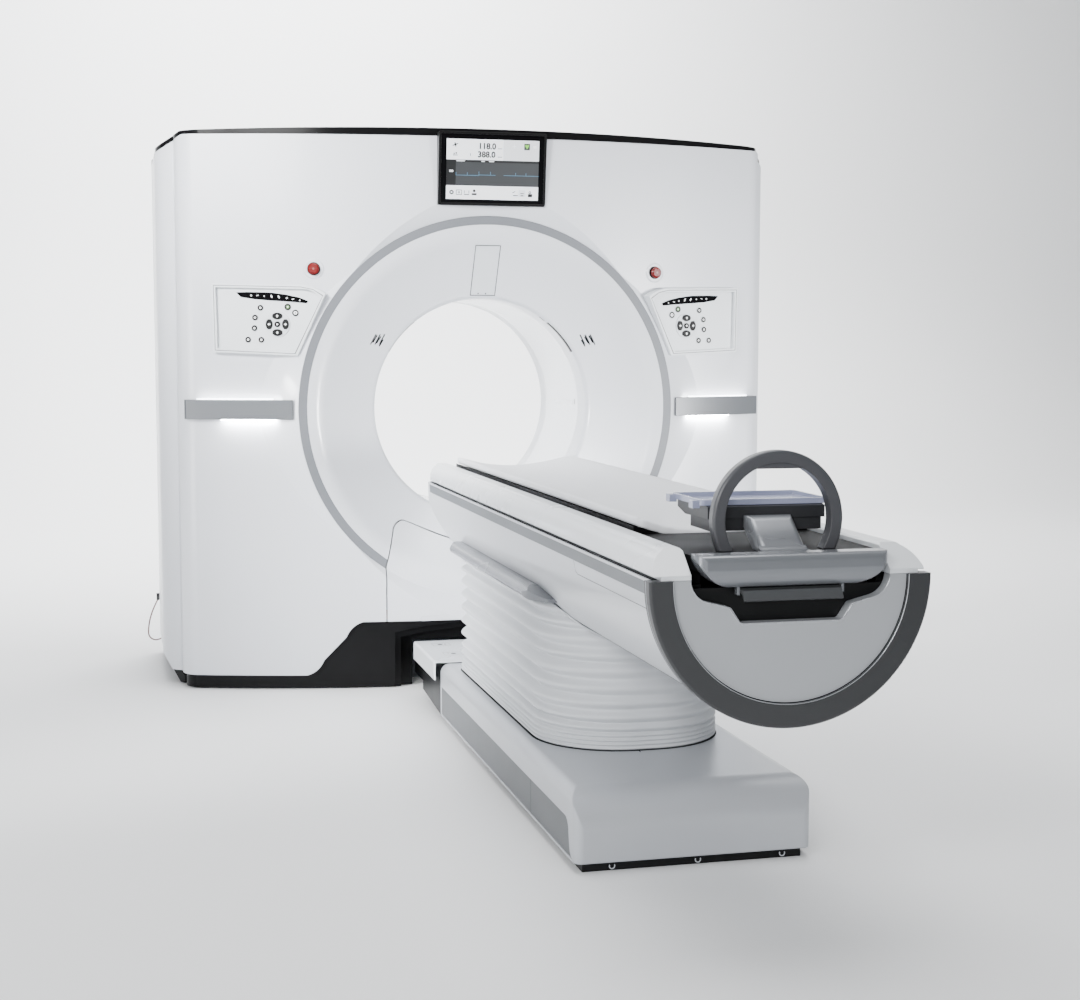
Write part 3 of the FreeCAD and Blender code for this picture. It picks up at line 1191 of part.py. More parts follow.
def handle_bar():
    """Silver boat-shaped bar, its lever ears and the leaning post that carries the tray."""
    boat = prism_y([(-BAR_TIP, BAR_TOP), (-BAR_TIP, BAR_TOP - 8.0),
                    ((-190.0, 790.0), (-156.0, BAR_LOW + 4.0)), ((-148.0, BAR_LOW + 1.0), (-138.0, BAR_LOW)),
                    (138.0, BAR_LOW), ((148.0, BAR_LOW + 1.0), (156.0, BAR_LOW + 4.0)),
                    ((190.0, 790.0), (BAR_TIP, BAR_TOP - 8.0)), (BAR_TIP, BAR_TOP)], BAR_FRONT, BAR_BACK)
    side = prism_x([(BAR_BACK, BAR_LOW - 1.0), (BAR_FRONT + 24.0, BAR_LOW - 1.0),
                    ((BAR_FRONT + 4.0, BAR_LOW + 22.0), (BAR_FRONT, BAR_LOW + 49.0)),
                    ((BAR_FRONT + 4.0, BAR_TOP - 5.0), (BAR_FRONT + 14.0, BAR_TOP)), (BAR_BACK, BAR_TOP)],
                   -300.0, 300.0)
    plan = prism_z(round_plan(BAR_TIP - 0.5, BAR_FRONT - 3.0, BAR_BACK + 80.0, 30.0, 30.0),
                   BAR_LOW - 5.0, BAR_TOP + 5.0)
    bar = boat.common(side).common(plan).fuse(tray_post())
    ears = [box(x - 3.0, x + 3.0, LEVER_Y - 8.0, LEVER_Y + 8.0, LEVER_Z - 8.0, BAR_LOW + 2.0)
            for x in (-LEVER_HALF - 6.0, LEVER_HALF + 6.0)]
    return bar.fuse(ears).cut(lever_pin(3.1, LEVER_HALF + 42.0)).removeSplitter()


def tray_post():
    """The leaning post: it grows out of the bar's back edge and runs up to the tray's support."""
    foot_y, foot_z = POST_END - 90.0, BAR_TOP + 8.0
    head_y, head_z = POST_END - 34.0, POST_TOP - 11.0
    under = FOOT_TOP + 1.0
    stem = prism_x([(foot_y, under), (POST_END - 56.0, under), ((POST_END - 22.0, POST_TOP - 43.0),
                    (POST_END, POST_TOP - 25.0)), (POST_END, POST_TOP), ((POST_END - 18.0, POST_TOP - 2.0),
                    (head_y, head_z)), (foot_y, foot_z)], -POST_HALF, POST_HALF)
    soft = prism_y(soft_section(POST_HALF, 13.0), -60.0, 150.0)
    soft.rotate(V(0, 0, 0), V(1, 0, 0), math.degrees(math.atan2(head_z - foot_z, head_y - foot_y)))
    soft.translate(V(0, foot_y, foot_z))
    root = prism_x([(BAR_BACK - 22.0, BAR_TOP - 6.0), (BAR_BACK - 2.0, BAR_TOP - 6.0),
                    (BAR_BACK - 2.0, under), (POST_END - 60.0, under), (foot_y, foot_z),
                    ((foot_y - 7.0, BAR_TOP + 2.5), (foot_y - 18.0, BAR_TOP)), (BAR_BACK - 22.0, BAR_TOP)],
                   -POST_HALF, POST_HALF)
    return stem.common(soft).fuse(root)


def soft_section(half, r):
    """A flat-topped section with rounded shoulders."""
    k = r * (1 - math.sqrt(0.5))
    return [(-half, -80.0), (-half, -r), ((-half + k, -k), (-half + r, 0.0)), (half - r, 0.0),
            ((half - k, -k), (half, -r)), (half, -80.0)]


def lever_pin(radius, half):
    return Part.makeCylinder(radius, 2 * half, V(-half, LEVER_Y, LEVER_Z), V(1, 0, 0))


def release_lever():
    """Squeeze lever under the bar, on a pin between the two ears."""
    y, z = LEVER_Y, LEVER_Z
    plate = prism_x([(y - 28.0, z - 18.0), (y - 23.0, z - 20.0), (y - 12.0, z - 7.0), (y, z - 4.0),
                     (y, z + 4.0), (y - 16.0, z + 2.0)], -LEVER_HALF, LEVER_HALF)
    return plate.fuse([lever_pin(5.0, LEVER_HALF + 2.0), lever_pin(3.0, LEVER_HALF + 9.0)]).removeSplitter()


def hoop():
    """Round grab hoop that stands on the cradle's foot, with a filled chord at its top."""
    def tube(radius):
        return disc(radius, HOOP_Y - HOOP_T / 2, HOOP_Y + HOOP_T / 2, z=HOOP_Z)
    outer = tube(HOOP_R)
    rims = [e for e in outer.Edges if len(e.Vertexes) == 1]
    outer = outer.makeFillet(6.0, rims)
    ring = outer.cut(disc(HOOP_R - HOOP_WEB, HOOP_Y - 50, HOOP_Y + 50, z=HOOP_Z))
    rim = HOOP_Z + HOOP_R - HOOP_WEB
    chord = tube(HOOP_R - HOOP_WEB + 0.5).common(
        box(-100, 100, HOOP_Y - HOOP_T / 2 + 3, HOOP_Y + HOOP_T / 2 - 3, rim - 12.0, rim + HOOP_WEB))
    floor = box(-200.0, 200.0, HOOP_Y - 60.0, HOOP_Y + 60.0, 600.0, FOOT_TOP)
    return ring.fuse(chord).cut(floor).removeSplitter()


def tray_support():
    """Dark two-layer support on the post's head, with a shallow scoop in its upper edge."""
    far = POST_END + 196.0
    upper = prism_x([(POST_END, TRAY_LOW - 28.0), (POST_END, TRAY_LOW - 3.0), (POST_END + 14.0, TRAY_LOW),
                     (far, TRAY_LOW), (far, TRAY_LOW - 18.0), (far - 50.0, TRAY_LOW - 30.0)], -132.0, 132.0)
    dish = 420.0
    scoop = Part.makeCylinder(dish, 90.0, V(0, POST_END - 20.0, TRAY_LOW + dish - 9.0), V(0, 1, 0.16))
    lower = box(-126.0, 126.0, POST_END + 5.0, far - 70.0, TRAY_LOW - 54.0, TRAY_LOW - 27.5)
    return upper.cut(scoop).fuse(lower).removeSplitter()


def tray():
    """Shallow tray with a raised rim and two side clips."""
    y0, y1 = TRAY_Y - 95.0, TRAY_Y + 95.0
    body = box(-TRAY_X, TRAY_X, y0, y1, TRAY_LOW, TRAY_LOW + 12.0)
    body = fillet_where(body, 12.0, is_vertical)
    body = body.cut(box(-TRAY_X + 6, TRAY_X - 6, y0 + 6, y1 - 6, TRAY_LOW + 3.0, TRAY_LOW + 20.0))
    clips = [box(-TRAY_X - 14.0, -TRAY_X + 2.0, y, y + 26.0, TRAY_LOW - 6.0, TRAY_LOW + 10.0)
             for y in (y0 + 8.0, y1 - 30.0)]
    return body.fuse(clips).removeSplitter()


def build():
    parts = {
        "floor_frame": floor_frame(),
        "stator_frame": stator_frame(),
        "bearing_outer_race": bearing_outer_race(),
        "drive_stator": drive_stator(),
        "front_cover": front_cover(),
        "ring_trim": ring_trim(),
        "front_funnel": front_funnel(),
        "funnel_window": funnel_window(),
        "front_door": front_door(),
        "bore_liner": bore_liner(),
        "rear_cover": rear_cover(),
        "side_cover_right": side_cover_right(),
        "side_cover_left": mirrored(side_cover_right()),
        "top_cap": top_cap(),
        "plinth": plinth(),
        "display_housing": display_housing(),
        "display_glass": display_glass_block(0.0),
        "ledge_right": ledge_right(),
        "ledge_left": mirrored(ledge_right()),
        "service_cord": service_cord(),
        "cord_glands": cord_glands(),
        "rotor_drum": rotor_drum(),
        "slip_ring": slip_ring(),
        "xray_tube": xray_tube(),
        "detector_arc": detector_arc(),
        "hv_generator": hv_generator(),
        "base_frame": base_frame(),
        "base_cover": base_cover(),
        "base_side_panels": base_side_panels(),
        "bridge_cover": bridge_cover(),
        "lift_middle_column": lift_middle_column(),
        "table_frame": table_frame(),
        "hull_shell": hull_shell(),
        "end_frame": end_frame(),
        "end_panel": end_panel(),
        "rail_right": rail_right(),
        "rail_left": mirrored(rail_right()),
        "side_grips": side_grips(),
        "bellows": bellows(),
        "cradle": cradle(),
        "mattress": mattress(),
        "handle_bar": handle_bar(),
        "release_lever": release_lever(),
        "hoop": hoop(),
        "tray_support": tray_support(),
        "tray": tray(),
    }
    for side, label in ((-1, "left"), (1, "right")):
        parts["control_pod_" + label] = pod_place(pod_body(), side)
        parts["estop_" + label] = estop_button(side)
        for name in POD_KEYS:
            parts["key_" + label + "_" + name] = pod_place(pod_key_solid(name), side)
    return parts


os.makedirs("parts", exist_ok=True)
for node, shape in build().items():
    shape.exportStep("parts/" + node + ".step")
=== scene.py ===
import math

import bmesh
import bpy
import numpy as np
from mathutils import Matrix, Vector


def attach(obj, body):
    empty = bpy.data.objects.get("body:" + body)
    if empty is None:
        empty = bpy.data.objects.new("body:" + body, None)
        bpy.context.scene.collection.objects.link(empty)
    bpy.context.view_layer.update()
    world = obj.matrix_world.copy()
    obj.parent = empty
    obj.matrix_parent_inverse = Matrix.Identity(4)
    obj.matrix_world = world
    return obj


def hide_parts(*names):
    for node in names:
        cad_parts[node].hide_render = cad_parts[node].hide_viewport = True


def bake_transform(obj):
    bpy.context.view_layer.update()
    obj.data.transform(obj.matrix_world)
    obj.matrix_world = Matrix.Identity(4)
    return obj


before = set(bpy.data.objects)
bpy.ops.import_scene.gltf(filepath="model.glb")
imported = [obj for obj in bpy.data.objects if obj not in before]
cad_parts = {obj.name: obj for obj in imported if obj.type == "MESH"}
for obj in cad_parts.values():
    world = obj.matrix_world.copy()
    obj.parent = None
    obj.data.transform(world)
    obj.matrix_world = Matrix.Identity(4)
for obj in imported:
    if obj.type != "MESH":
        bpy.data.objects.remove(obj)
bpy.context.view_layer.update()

# ---- Camera ----
# It stands where the photographer stood: 6.6 m in front of the gantry and 1.35 m left of its axis,
# 1.26 m above the floor, turned a little right and down. 57 mm on a 36 mm frame, 1080 x 1000 image.
def put(name, data):
    """A new object in the scene."""
    obj = bpy.data.objects.new(name, data)
    bpy.context.scene.collection.objects.link(obj)
    return obj


EYE = Vector((-1.3497, -6.597, 1.2619))
YAW, PITCH, ROLL = 0.2469, 0.0933, 0.0016
FOCAL_PX, IMAGE_W, SENSOR_W = 1717.75, 1080.0, 36.0
ahead = Vector((math.sin(YAW) * math.cos(PITCH), math.cos(YAW) * math.cos(PITCH), -math.sin(PITCH)))
level = Vector((math.cos(YAW), -math.sin(YAW), 0.0))
upright = level.cross(ahead)
right = level * math.cos(ROLL) + upright * math.sin(ROLL)
above = upright * math.cos(ROLL) - level * math.sin(ROLL)
lens = bpy.data.cameras.new("photo_lens")
lens.sensor_width = SENSOR_W
lens.lens = FOCAL_PX * SENSOR_W / IMAGE_W
lens.clip_end = 60.0
camera = put("photo_camera", lens)
camera.matrix_world = Matrix.LocRotScale(EYE, Matrix((right, above, -ahead)).transposed(), None)
bpy.context.scene.camera = camera


# ---- Service cord ----
# A dark red PVC lead, 5.4 mm thick, at the left rear corner. It leaves the side cover through a rubber
# gland, hangs in a loop to just above the floor and goes back into the cover through a second gland.
def linear(code):
    """sRGB hex to linear: c/12.92 below 0.04045, ((c + 0.055)/1.055) ** 2.4 above."""
    parts = [int(code[i:i + 2], 16) / 255.0 for i in (0, 2, 4)]
    return [c / 12.92 if c <= 0.04045 else ((c + 0.055) / 1.055) ** 2.4 for c in parts] + [1.0]


def add(tree, kind, settings=(), links=()):
    """Adds one node: settings are (socket or .attribute, value), links are (socket, source output)."""
    node = tree.nodes.new(kind)
    for name, value in settings:
        if isinstance(name, str) and name.startswith("."):
            setattr(node, name[1:], value)
        else:
            node.inputs[name].default_value = value
    for name, source in links:
        tree.links.new(source, node.inputs[name])
    return node


def finish(name, code, rough, grain, relief, edge=0.0, drift=0.03, metal=0.0, coat=0.0, shine=0.5,
           brush=(1.0, 1.0, 1.0)):
    """A surface on Object coordinates: clouds 0.4 m across drift its colour by a share and its gloss by five
    times that, a grain of so many mm lifts it by relief mm, corners catch light over edge mm, and brush draws
    the grain out along an axis where its factor is small."""
    material = bpy.data.materials.new(name)
    material.use_nodes = True
    tree = material.node_tree
    surface = tree.nodes["Principled BSDF"]
    place = add(tree, "ShaderNodeTexCoord").outputs["Object"]
    cloud = add(tree, "ShaderNodeTexNoise", (("Scale", 2.5), ("Detail", 3.0)), (("Vector", place),))
    base = linear(code)
    tint = add(tree, "ShaderNodeMix", ((".data_type", "RGBA"), (6, [c * (1 - drift) for c in base[:3]] + [1.0]),
                                       (7, [min(1.0, c * (1 + drift)) for c in base[:3]] + [1.0])),
               ((0, cloud.outputs["Fac"]),))
    laid = add(tree, "ShaderNodeMapping", (("Scale", brush),), (("Vector", place),))
    fine = add(tree, "ShaderNodeTexNoise", (("Scale", 1000.0 / grain), ("Detail", 2.0)),
               (("Vector", laid.outputs["Vector"]),))
    swing = 5 * drift
    gloss = add(tree, "ShaderNodeMapRange", (("From Min", 0.3), ("From Max", 0.7), ("To Min", rough * (1 - swing)),
                                             ("To Max", rough * (1 + swing))),
                (("Value", cloud.outputs["Fac"]),))
    bump = add(tree, "ShaderNodeBump", (("Strength", 1.0), ("Distance", relief / 1000.0)),
               (("Height", fine.outputs["Fac"]),))
    if edge:
        corner = add(tree, "ShaderNodeBevel", ((".samples", 4), ("Radius", edge / 1000.0)))
        tree.links.new(corner.outputs["Normal"], bump.inputs["Normal"])
    tree.links.new(tint.outputs[2], surface.inputs["Base Color"])
    tree.links.new(gloss.outputs["Result"], surface.inputs["Roughness"])
    tree.links.new(bump.outputs["Normal"], surface.inputs["Normal"])
    surface.inputs["Metallic"].default_value = metal
    surface.inputs["Specular IOR Level"].default_value = shine
    surface.inputs["Coat Weight"].default_value = coat
    surface.inputs["Coat Roughness"].default_value = 0.08
    return material


def dress(material, nodes):
    """Gives CAD nodes a finish through their own material slots."""
    for name in nodes.split():
        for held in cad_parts[name].material_slots:
            held.material = material


# PVC sheath, extruded: dark oxblood, soft gloss, faint ripple from the die.
sheath_pvc = finish("extruded_pvc_sheath", "5A2A2B", 0.42, 3.0, 0.04)
# EPDM rubber glands: near black, dull, fine moulded grain.
gland_rubber = finish("moulded_epdm_rubber", "2A2A2B", 0.7, 1.2, 0.03)
CORD_X, CORD_Y, CORD_D, CORD_LENGTH = -1.163, 0.430, 0.0054, 0.216
cord_points = [(CORD_X + dx, CORD_Y, z) for dx, z in (
    (-0.0050, 0.2140), (-0.0200, 0.1840), (-0.0320, 0.1520), (-0.0410, 0.1160), (-0.0445, 0.0720),
    (-0.0291, 0.0536), (-0.0054, 0.0494), (0.0154, 0.0614))]
line = bpy.data.curves.new("service_cord_lead", "CURVE")
line.dimensions = "3D"
run = line.splines.new("NURBS")
run.points.add(len(cord_points) - 1)
run.points.foreach_set("co", np.array([p + (1.0,) for p in cord_points]).ravel())
run.order_u = 3
run.use_endpoint_u = True
run.resolution_u = 16
line.bevel_depth = CORD_D / 2
line.bevel_resolution = 4
line.use_fill_caps = True
line.materials.append(sheath_pvc)
lead = put("service_cord_lead", line)
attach(lead, "stand")
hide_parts("service_cord")
dress(gland_rubber, "cord_glands")


# ---- Gantry covers ----
# White covers moulded in glass-filled polyurethane and lacquered: the bowed front, the flanks, the rear, the
# funnel and the lower door. They hang on the stator plate and the floor frame with 0.5 mm parting gaps.
# Two-pack lacquer: cool white, satin gloss with a faint orange peel that blurs what it reflects.
cover_lacquer = finish("white_polyurethane_lacquer", "C8CBD1", 0.30, 9.0, 0.010, edge=3.0, drift=0.012, coat=0.25)
dress(cover_lacquer, "front_cover rear_cover side_cover_left side_cover_right front_door front_funnel")
# Polycarbonate liner: the same white, smoother and brighter, so that the bore shows long soft reflections.
liner_polycarbonate = finish("white_polycarbonate_liner", "E8EBEF", 0.16, 40.0, 0.03, drift=0.012, coat=0.4)
dress(liner_polycarbonate, "bore_liner")
# Painted aluminium ring: mid grey satin, no visible grain.
ring_paint = finish("satin_grey_paint", "66696E", 0.34, 2.0, 0.004, edge=1.5, drift=0.02)
dress(ring_paint, "ring_trim")
# Frosted acrylic inset strip: a shade darker than the funnel, softly polished.
window_acrylic = finish("frosted_acrylic", "C4C8CD", 0.22, 6.0, 0.004, drift=0.02, coat=0.3)
dress(window_acrylic, "funnel_window")

# ---- Bore and funnel marks ----
# Laser slots, the scale line and the slanted slits in the funnel: narrow black acrylic strips let into the
# moulding, flush with it.
BORE_Z, BORE_R = 1011.0, 400.0
# Black acrylic: deep black and polished.
slot_acrylic = finish("black_acrylic", "0A0A0B", 0.15, 30.0, 0.002, drift=0.02, shine=0.15)


def mesh_object(name, points, faces, smooth=True):
    """A mesh piece from arrays of points and faces."""
    mesh = bpy.data.meshes.new(name)
    mesh.from_pydata([tuple(p) for p in points], [], [tuple(f) for f in faces])
    mesh.polygons.foreach_set("use_smooth", np.full(len(mesh.polygons), smooth))
    mesh.update()
    return put(name, mesh)


def printed(name, layers, place, body, materials, thick=0.3):
    """Thin raised prints: layers of (material number, lift in mm, flat shapes) are carried by place(u, v, lift),
    which also gives the way out, and Solidify gives them thickness towards the surface."""
    points, faces, numbers = [], [], []
    for number, lift, shapes in layers:
        for shape in shapes:
            spots = place(shape[:, 0], shape[:, 1], lift)
            out = place(shape[:1, 0], shape[:1, 1], lift + 10.0)[0] - spots[0]
            turned = np.roll(spots, -1, axis=0)
            facing = np.cross(spots - spots.mean(0), turned - spots.mean(0)).sum(0) @ out
            order = range(len(spots)) if facing > 0 else range(len(spots) - 1, -1, -1)
            faces.append([len(points) + i for i in order])
            points.extend(spots)
            numbers.append(number)
    obj = mesh_object(name, np.array(points) / 1000.0, faces, smooth=False)
    for material in materials:
        obj.data.materials.append(material)
    obj.data.polygons.foreach_set("material_index", numbers)
    solid = obj.modifiers.new("thickness", "SOLIDIFY")
    solid.thickness = thick / 1000.0
    solid.offset = -1.0
    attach(obj, body)


def spots_at(x, y, z):
    """Rows of (x, y, z), each given as an array or as one number."""
    return np.stack(np.broadcast_arrays(x, y, z), axis=1)


def on_bore(u, v, lift):
    """The bore's wall: u is the angle in degrees above +X, v the y in mm, lifted towards the axis."""
    turn, reach = np.radians(u), BORE_R - lift
    return spots_at(reach * np.cos(turn), v, BORE_Z + reach * np.sin(turn))


def arc_shape(u0, u1, v0, v1, count):
    """A strip cut into count pieces along u."""
    steps = np.linspace(u0, u1, count + 1)
    return [np.array([(a, v0), (b, v0), (b, v1), (a, v1)]) for a, b in zip(steps[:-1], steps[1:])]


def on_lip(u, v, lift):
    """The bore's wall and the rounding at its mouth: r = 400 + 4.4 ((-345 - y) / 15)^2 mm past y = -345."""
    turn = np.radians(u)
    reach = BORE_R + 4.4 * np.clip((-345.0 - v) / 15.0, 0.0, 1.2) ** 2 - lift
    return spots_at(reach * np.cos(turn), v, BORE_Z + reach * np.sin(turn))


# Two long slots in the mouth's upper quarters, and a short one that ends beside the right one.
slots = []
for v0, v1 in ((-358.0, -352.0), (-352.0, -346.0), (-346.0, -336.0)):
    slots += arc_shape(30.6, 51.2, v0, v1, 24) + arc_shape(128.8, 149.4, v0, v1, 24)
slots += arc_shape(53.0, 56.5, -352.0, -346.0, 4)
printed("laser_slot", [(0, 0.6, slots)], on_lip, "stand", [slot_acrylic])
# Pad-printed scale along the liner's right side: a pale matt field and one grey index.
index_ink = finish("grey_pad_print_ink", "6E7277", 0.5, 0.8, 0.004, drift=0.04)
field_ink = finish("pale_pad_print_ink", "F3F5F7", 0.45, 0.8, 0.004, drift=0.01)
printed("liner_scale", [(0, 0.6, arc_shape(-0.6, 1.9, -160.0, 136.0, 2)),
                        (1, 0.7, arc_shape(0.2, 3.0, -201.0, -193.0, 2))],
        on_bore, "stand", [field_ink, index_ink])


def on_cone(u, v, lift):
    """The funnel's straight cone, y = -400 - 0.57 (v - 467): u is the angle in degrees, v the radius in mm."""
    turn, slope = np.radians(u), 0.57
    out = math.hypot(1.0, slope)
    radius = v - lift * slope / out
    return spots_at(radius * np.cos(turn), -400.0 - slope * (v - 467.0) - lift / out,
                    BORE_Z + radius * np.sin(turn))


# Three slits at each side, 4 mm wide, from an upper end in degrees down over 3.6 degrees.
slits = [np.array([(high, v), (high - 3.6, v), (high - 3.6, v + 4.0), (high, v + 4.0)])
         for high, v in ((33.7, 446.0), (34.2, 461.0), (33.6, 475.0))]
slits += [np.stack([180.0 - s[:, 0], s[:, 1]], axis=1) for s in slits]
printed("speaker_slits", [(0, 0.6, slits)], on_cone, "stand", [slot_acrylic])
# The dark joint round the inset strip: strokes across x from -46 to 46 mm and radius from 414 to 590 mm.
joint = []
for x0, x1, v0, v1, count in ((-47.2, -44.8, 413.0, 591.0, 8), (44.8, 47.2, 413.0, 591.0, 8),
                              (-44.8, 44.8, 413.0, 415.4, 1), (-44.8, 44.8, 588.6, 591.0, 1),
                              (-19.0, -15.0, 416.0, 421.0, 1), (9.0, 13.0, 416.0, 421.0, 1)):
    steps = np.linspace(v0, v1, count + 1)
    for low, high in zip(steps[:-1], steps[1:]):
        x, v = np.array([x0, x1, x1, x0]), np.array([low, low, high, high])
        joint.append(np.stack([90.0 - np.degrees(np.arcsin(x / v)), v], axis=1))
# An open joint: a narrow dull shadow.
joint_grey = finish("recessed_joint", "26282A", 0.6, 1.0, 0.004, drift=0.02, shine=0.2)
printed("funnel_joint", [(0, 0.6, joint)], on_cone, "stand", [joint_grey])

# ---- Roof cap, plinth and portal ----
# Gloss black ABS mouldings: the thin cap over the covers, the stepped plinth and the portal that the table
# bridge runs into, screwed to the floor frame.
# Piano-black ABS: almost black, polished, a little uneven so that reflections waver.
piano_black = finish("piano_black_abs", "0C0C0D", 0.16, 60.0, 0.05, edge=2.5, drift=0.02, shine=0.12)
dress(piano_black, "top_cap plinth")

# ---- Display ----
# A landscape touch screen in a black die-cast housing, hung over the cap's front edge. Its picture is a lit panel
# behind glass: figures and icons on light bands, traces on a dark one.
# Powder-coated die casting: black, fine-grained, a soft edge light.
bezel_black = finish("black_powder_coat", "0B0B0C", 0.3, 1.5, 0.01, edge=2.0, drift=0.03, shine=0.2)
dress(bezel_black, "display_housing")
# Coated glass: black and mirror-smooth where the picture doesn't shine.
display_cover_glass = finish("coated_cover_glass", "050506", 0.06, 80.0, 0.01, drift=0.01, shine=0.15)
dress(display_cover_glass, "display_glass")


def ring_shape(u, v, outer, inner=0.0, count=28):
    """A disc, or a band between two circles cut into count quads, in flat (u, v) coordinates."""
    turn = np.linspace(0.0, 2 * math.pi, count + 1)
    rim = np.stack([u + outer * np.cos(turn), v + outer * np.sin(turn)], axis=1)
    if not inner:
        return [rim[:-1]]
    core = np.stack([u + inner * np.cos(turn), v + inner * np.sin(turn)], axis=1)
    return [np.array([rim[i], rim[i + 1], core[i + 1], core[i]]) for i in range(count)]


def bar_shape(u0, v0, u1, v1, width):
    """A straight stroke from (u0, v0) to (u1, v1)."""
    along = np.array([u1 - u0, v1 - v0])
    side = np.array([-along[1], along[0]]) / np.hypot(*along) * width / 2
    a, b = np.array([u0, v0]), np.array([u1, v1])
    return [np.array([a - side, b - side, b + side, a + side])]


def block_shape(u0, v0, u1, v1):
    """An upright rectangle between two corners."""
    return [np.array([(u0, v0), (u1, v0), (u1, v1), (u0, v1)], float)]


def numerals(text, size, u, v):
    """Figures as flat faces, their lower left corner at (u, v), size mm tall."""
    letters = bpy.data.curves.new("numerals", "FONT")
    letters.body = text
    letters.size = size * 1.38
    letters.resolution_u = 3
    letters.offset = 1.0
    holder = put("numerals", letters)
    flat = bpy.data.meshes.new_from_object(holder.evaluated_get(bpy.context.evaluated_depsgraph_get()))
    spots = np.array([p.co[:2] for p in flat.vertices])
    shapes = [spots[list(p.vertices)] + (u, v) for p in flat.polygons]
    bpy.data.objects.remove(holder)
    return shapes


def glow(name, code, strength):
    """A lit pixel field: its own colour shines a little, with the faint mottling of a diffuser sheet."""
    material = finish(name, code, 0.3, 4.0, 0.002, drift=0.02)
    surface = material.node_tree.nodes["Principled BSDF"]
    surface.inputs["Emission Color"].default_value = linear(code)
    surface.inputs["Emission Strength"].default_value = strength
    return material


SCREEN_Y, SCREEN_Z, SCREEN_H, SCREEN_LEAN = -546.5, 1865.0, 256.0, 29.0


def on_screen(u, v, lift):
    """The leaning glass: u across, v up it from its middle; it leans SCREEN_LEAN mm over SCREEN_H mm."""
    tall = math.hypot(SCREEN_H, SCREEN_LEAN)
    return spots_at(u, SCREEN_Y - (v * SCREEN_LEAN + lift * SCREEN_H) / tall,
                    SCREEN_Z + (v * SCREEN_H - lift * SCREEN_LEAN) / tall)


# Lit fields: pale bands that glow evenly, dark ones that hardly do, ink that doesn't, and two signal colours.
screen = [glow("screen_light", "DADDE1", 0.45), glow("screen_grey", "C3C6CA", 0.45),
          glow("screen_slate", "303234", 0.2), glow("screen_night", "151617", 0.2),
          glow("screen_ink", "060606", 0.0), glow("screen_trace", "476C85", 0.3),
          glow("screen_green", "6CB33F", 0.6)]
light, grey, slate, night, ink, trace, green = range(7)
picture = [(light, 0.3, block_shape(-168, 30, 37, 102)), (grey, 0.3, block_shape(37, 30, 168, 102)),
           (night, 0.3, block_shape(-168, 22, 168, 30)), (slate, 0.3, block_shape(-134, -60, 168, 22)),
           (night, 0.3, block_shape(-168, -60, -134, 22)), (light, 0.3, block_shape(-168, -108, 168, -60))]
picture += [(ink, 0.5, numerals("118.0", 21, -54, 69)), (ink, 0.5, numerals("388.0", 21, -56, 40)),
            (slate, 0.5, block_shape(113, 69, 134, 91)), (grey, 0.5, block_shape(96, -96, 122, -72)),
            (green, 0.7, [np.array([(116, 84), (119, 88), (123.5, 85), (128, 88), (131, 84), (123.5, 72)], float)]),
            (light, 0.5, block_shape(146, 76, 158, 84)), (ink, 0.7, block_shape(104, -93, 114, -90)),
            (ink, 0.7, bar_shape(103, -84, 116, -84, 2.4))]
# Icon parts and small plain bars: corners (u0, v0, u1, v1).
picture += [(ink, 0.5, block_shape(*corners)) for corners in (
    (17, 70, 33, 72), (17, 41, 33, 43), (-146, 44, -128, 46.5), (-136, 50, -131, 55), (-83, 44, -81, 53),
    (-103, -93, -84, -90), (-75, -93, -57, -86), (76, -93, 94, -90), (131, -96, 147, -85))]
picture += [(grey, 0.5, block_shape(*corners)) for corners in (
    (-132, 24, -102, 28), (-42, 24, -30, 28), (-14, 24, 4, 28))]
# Strokes (u0, v0, u1, v1, width), the traces last, and rings (u, v, outer, inner, count).
picture += [(tone, 0.5, bar_shape(*stroke)) for tone, stroke in (
    (ink, (-147, 78, -127, 86, 3)), (ink, (-139, 90, -135, 74, 3)), (light, (70, 80, 84, 80, 2)),
    (light, (77, 73, 77, 87, 2)), (ink, (-131, -76, -111, -76, 2)), (ink, (-131, -92, -111, -92, 2)),
    (ink, (-131, -76, -131, -92, 2)), (ink, (-111, -76, -111, -92, 2)), (ink, (-102, -88, -102, -77, 2)),
    (ink, (-85, -88, -85, -77, 2)), (ink, (74, -82, 84, -77, 2.4)))]
picture += [(trace, 0.5, bar_shape(*ends, 1.6)) for ends in (
    (-133, -14, -133, -24), (-133, -24, -50, -24), (-92, -24, -92, -14), (-50, -24, -50, -10),
    (-50, -22, 10, -22), (-8, -22, -8, -10), (40, -22, 168, -22), (84, -22, 84, -12), (122, -22, 122, -12))]
picture += [(tone, 0.5, ring_shape(*ring)) for tone, ring in (
    (ink, (-137, 82, 4.5, 2.5, 12)), (ink, (-141, 51, 2.6, 0, 10)), (light, (-154, -10, 4, 2, 10)),
    (light, (-147, -10, 4, 2, 10)), (ink, (-148, -84, 8, 3.4, 16)), (ink, (-121, -84, 4, 2, 10)),
    (ink, (-66, -78, 5, 0, 14)), (ink, (138, -80, 5, 2.4, 12)))]
printed("display_picture", picture, on_screen, "stand", screen, thick=0.2)

# ---- Control pods ----
# A white dished ABS moulding each side of the bore, seated in the cover and turned 16 degrees to face the
# operator. Fixed round keys and a black lens of indicators are let into its face; the four-way group round the
# centre key moves.
# Moulded ABS: cool white, satin, its rim lit by a fine edge.
pod_plastic = finish("white_abs_moulding", "CFD3D7", 0.33, 2.4, 0.006, edge=3.0, drift=0.012, coat=0.15)
dress(pod_plastic, "control_pod_left control_pod_right")
# Soft-touch paint on the keys: charcoal, silky.
key_cap = finish("soft_touch_charcoal", "0D0D0E", 0.4, 1.0, 0.006, edge=1.2, drift=0.03, shine=0.15)
dress(key_cap, " ".join(f"key_{side}_{key}" for side in ("left", "right")
                        for key in ("up", "down", "in", "out", "centre")))
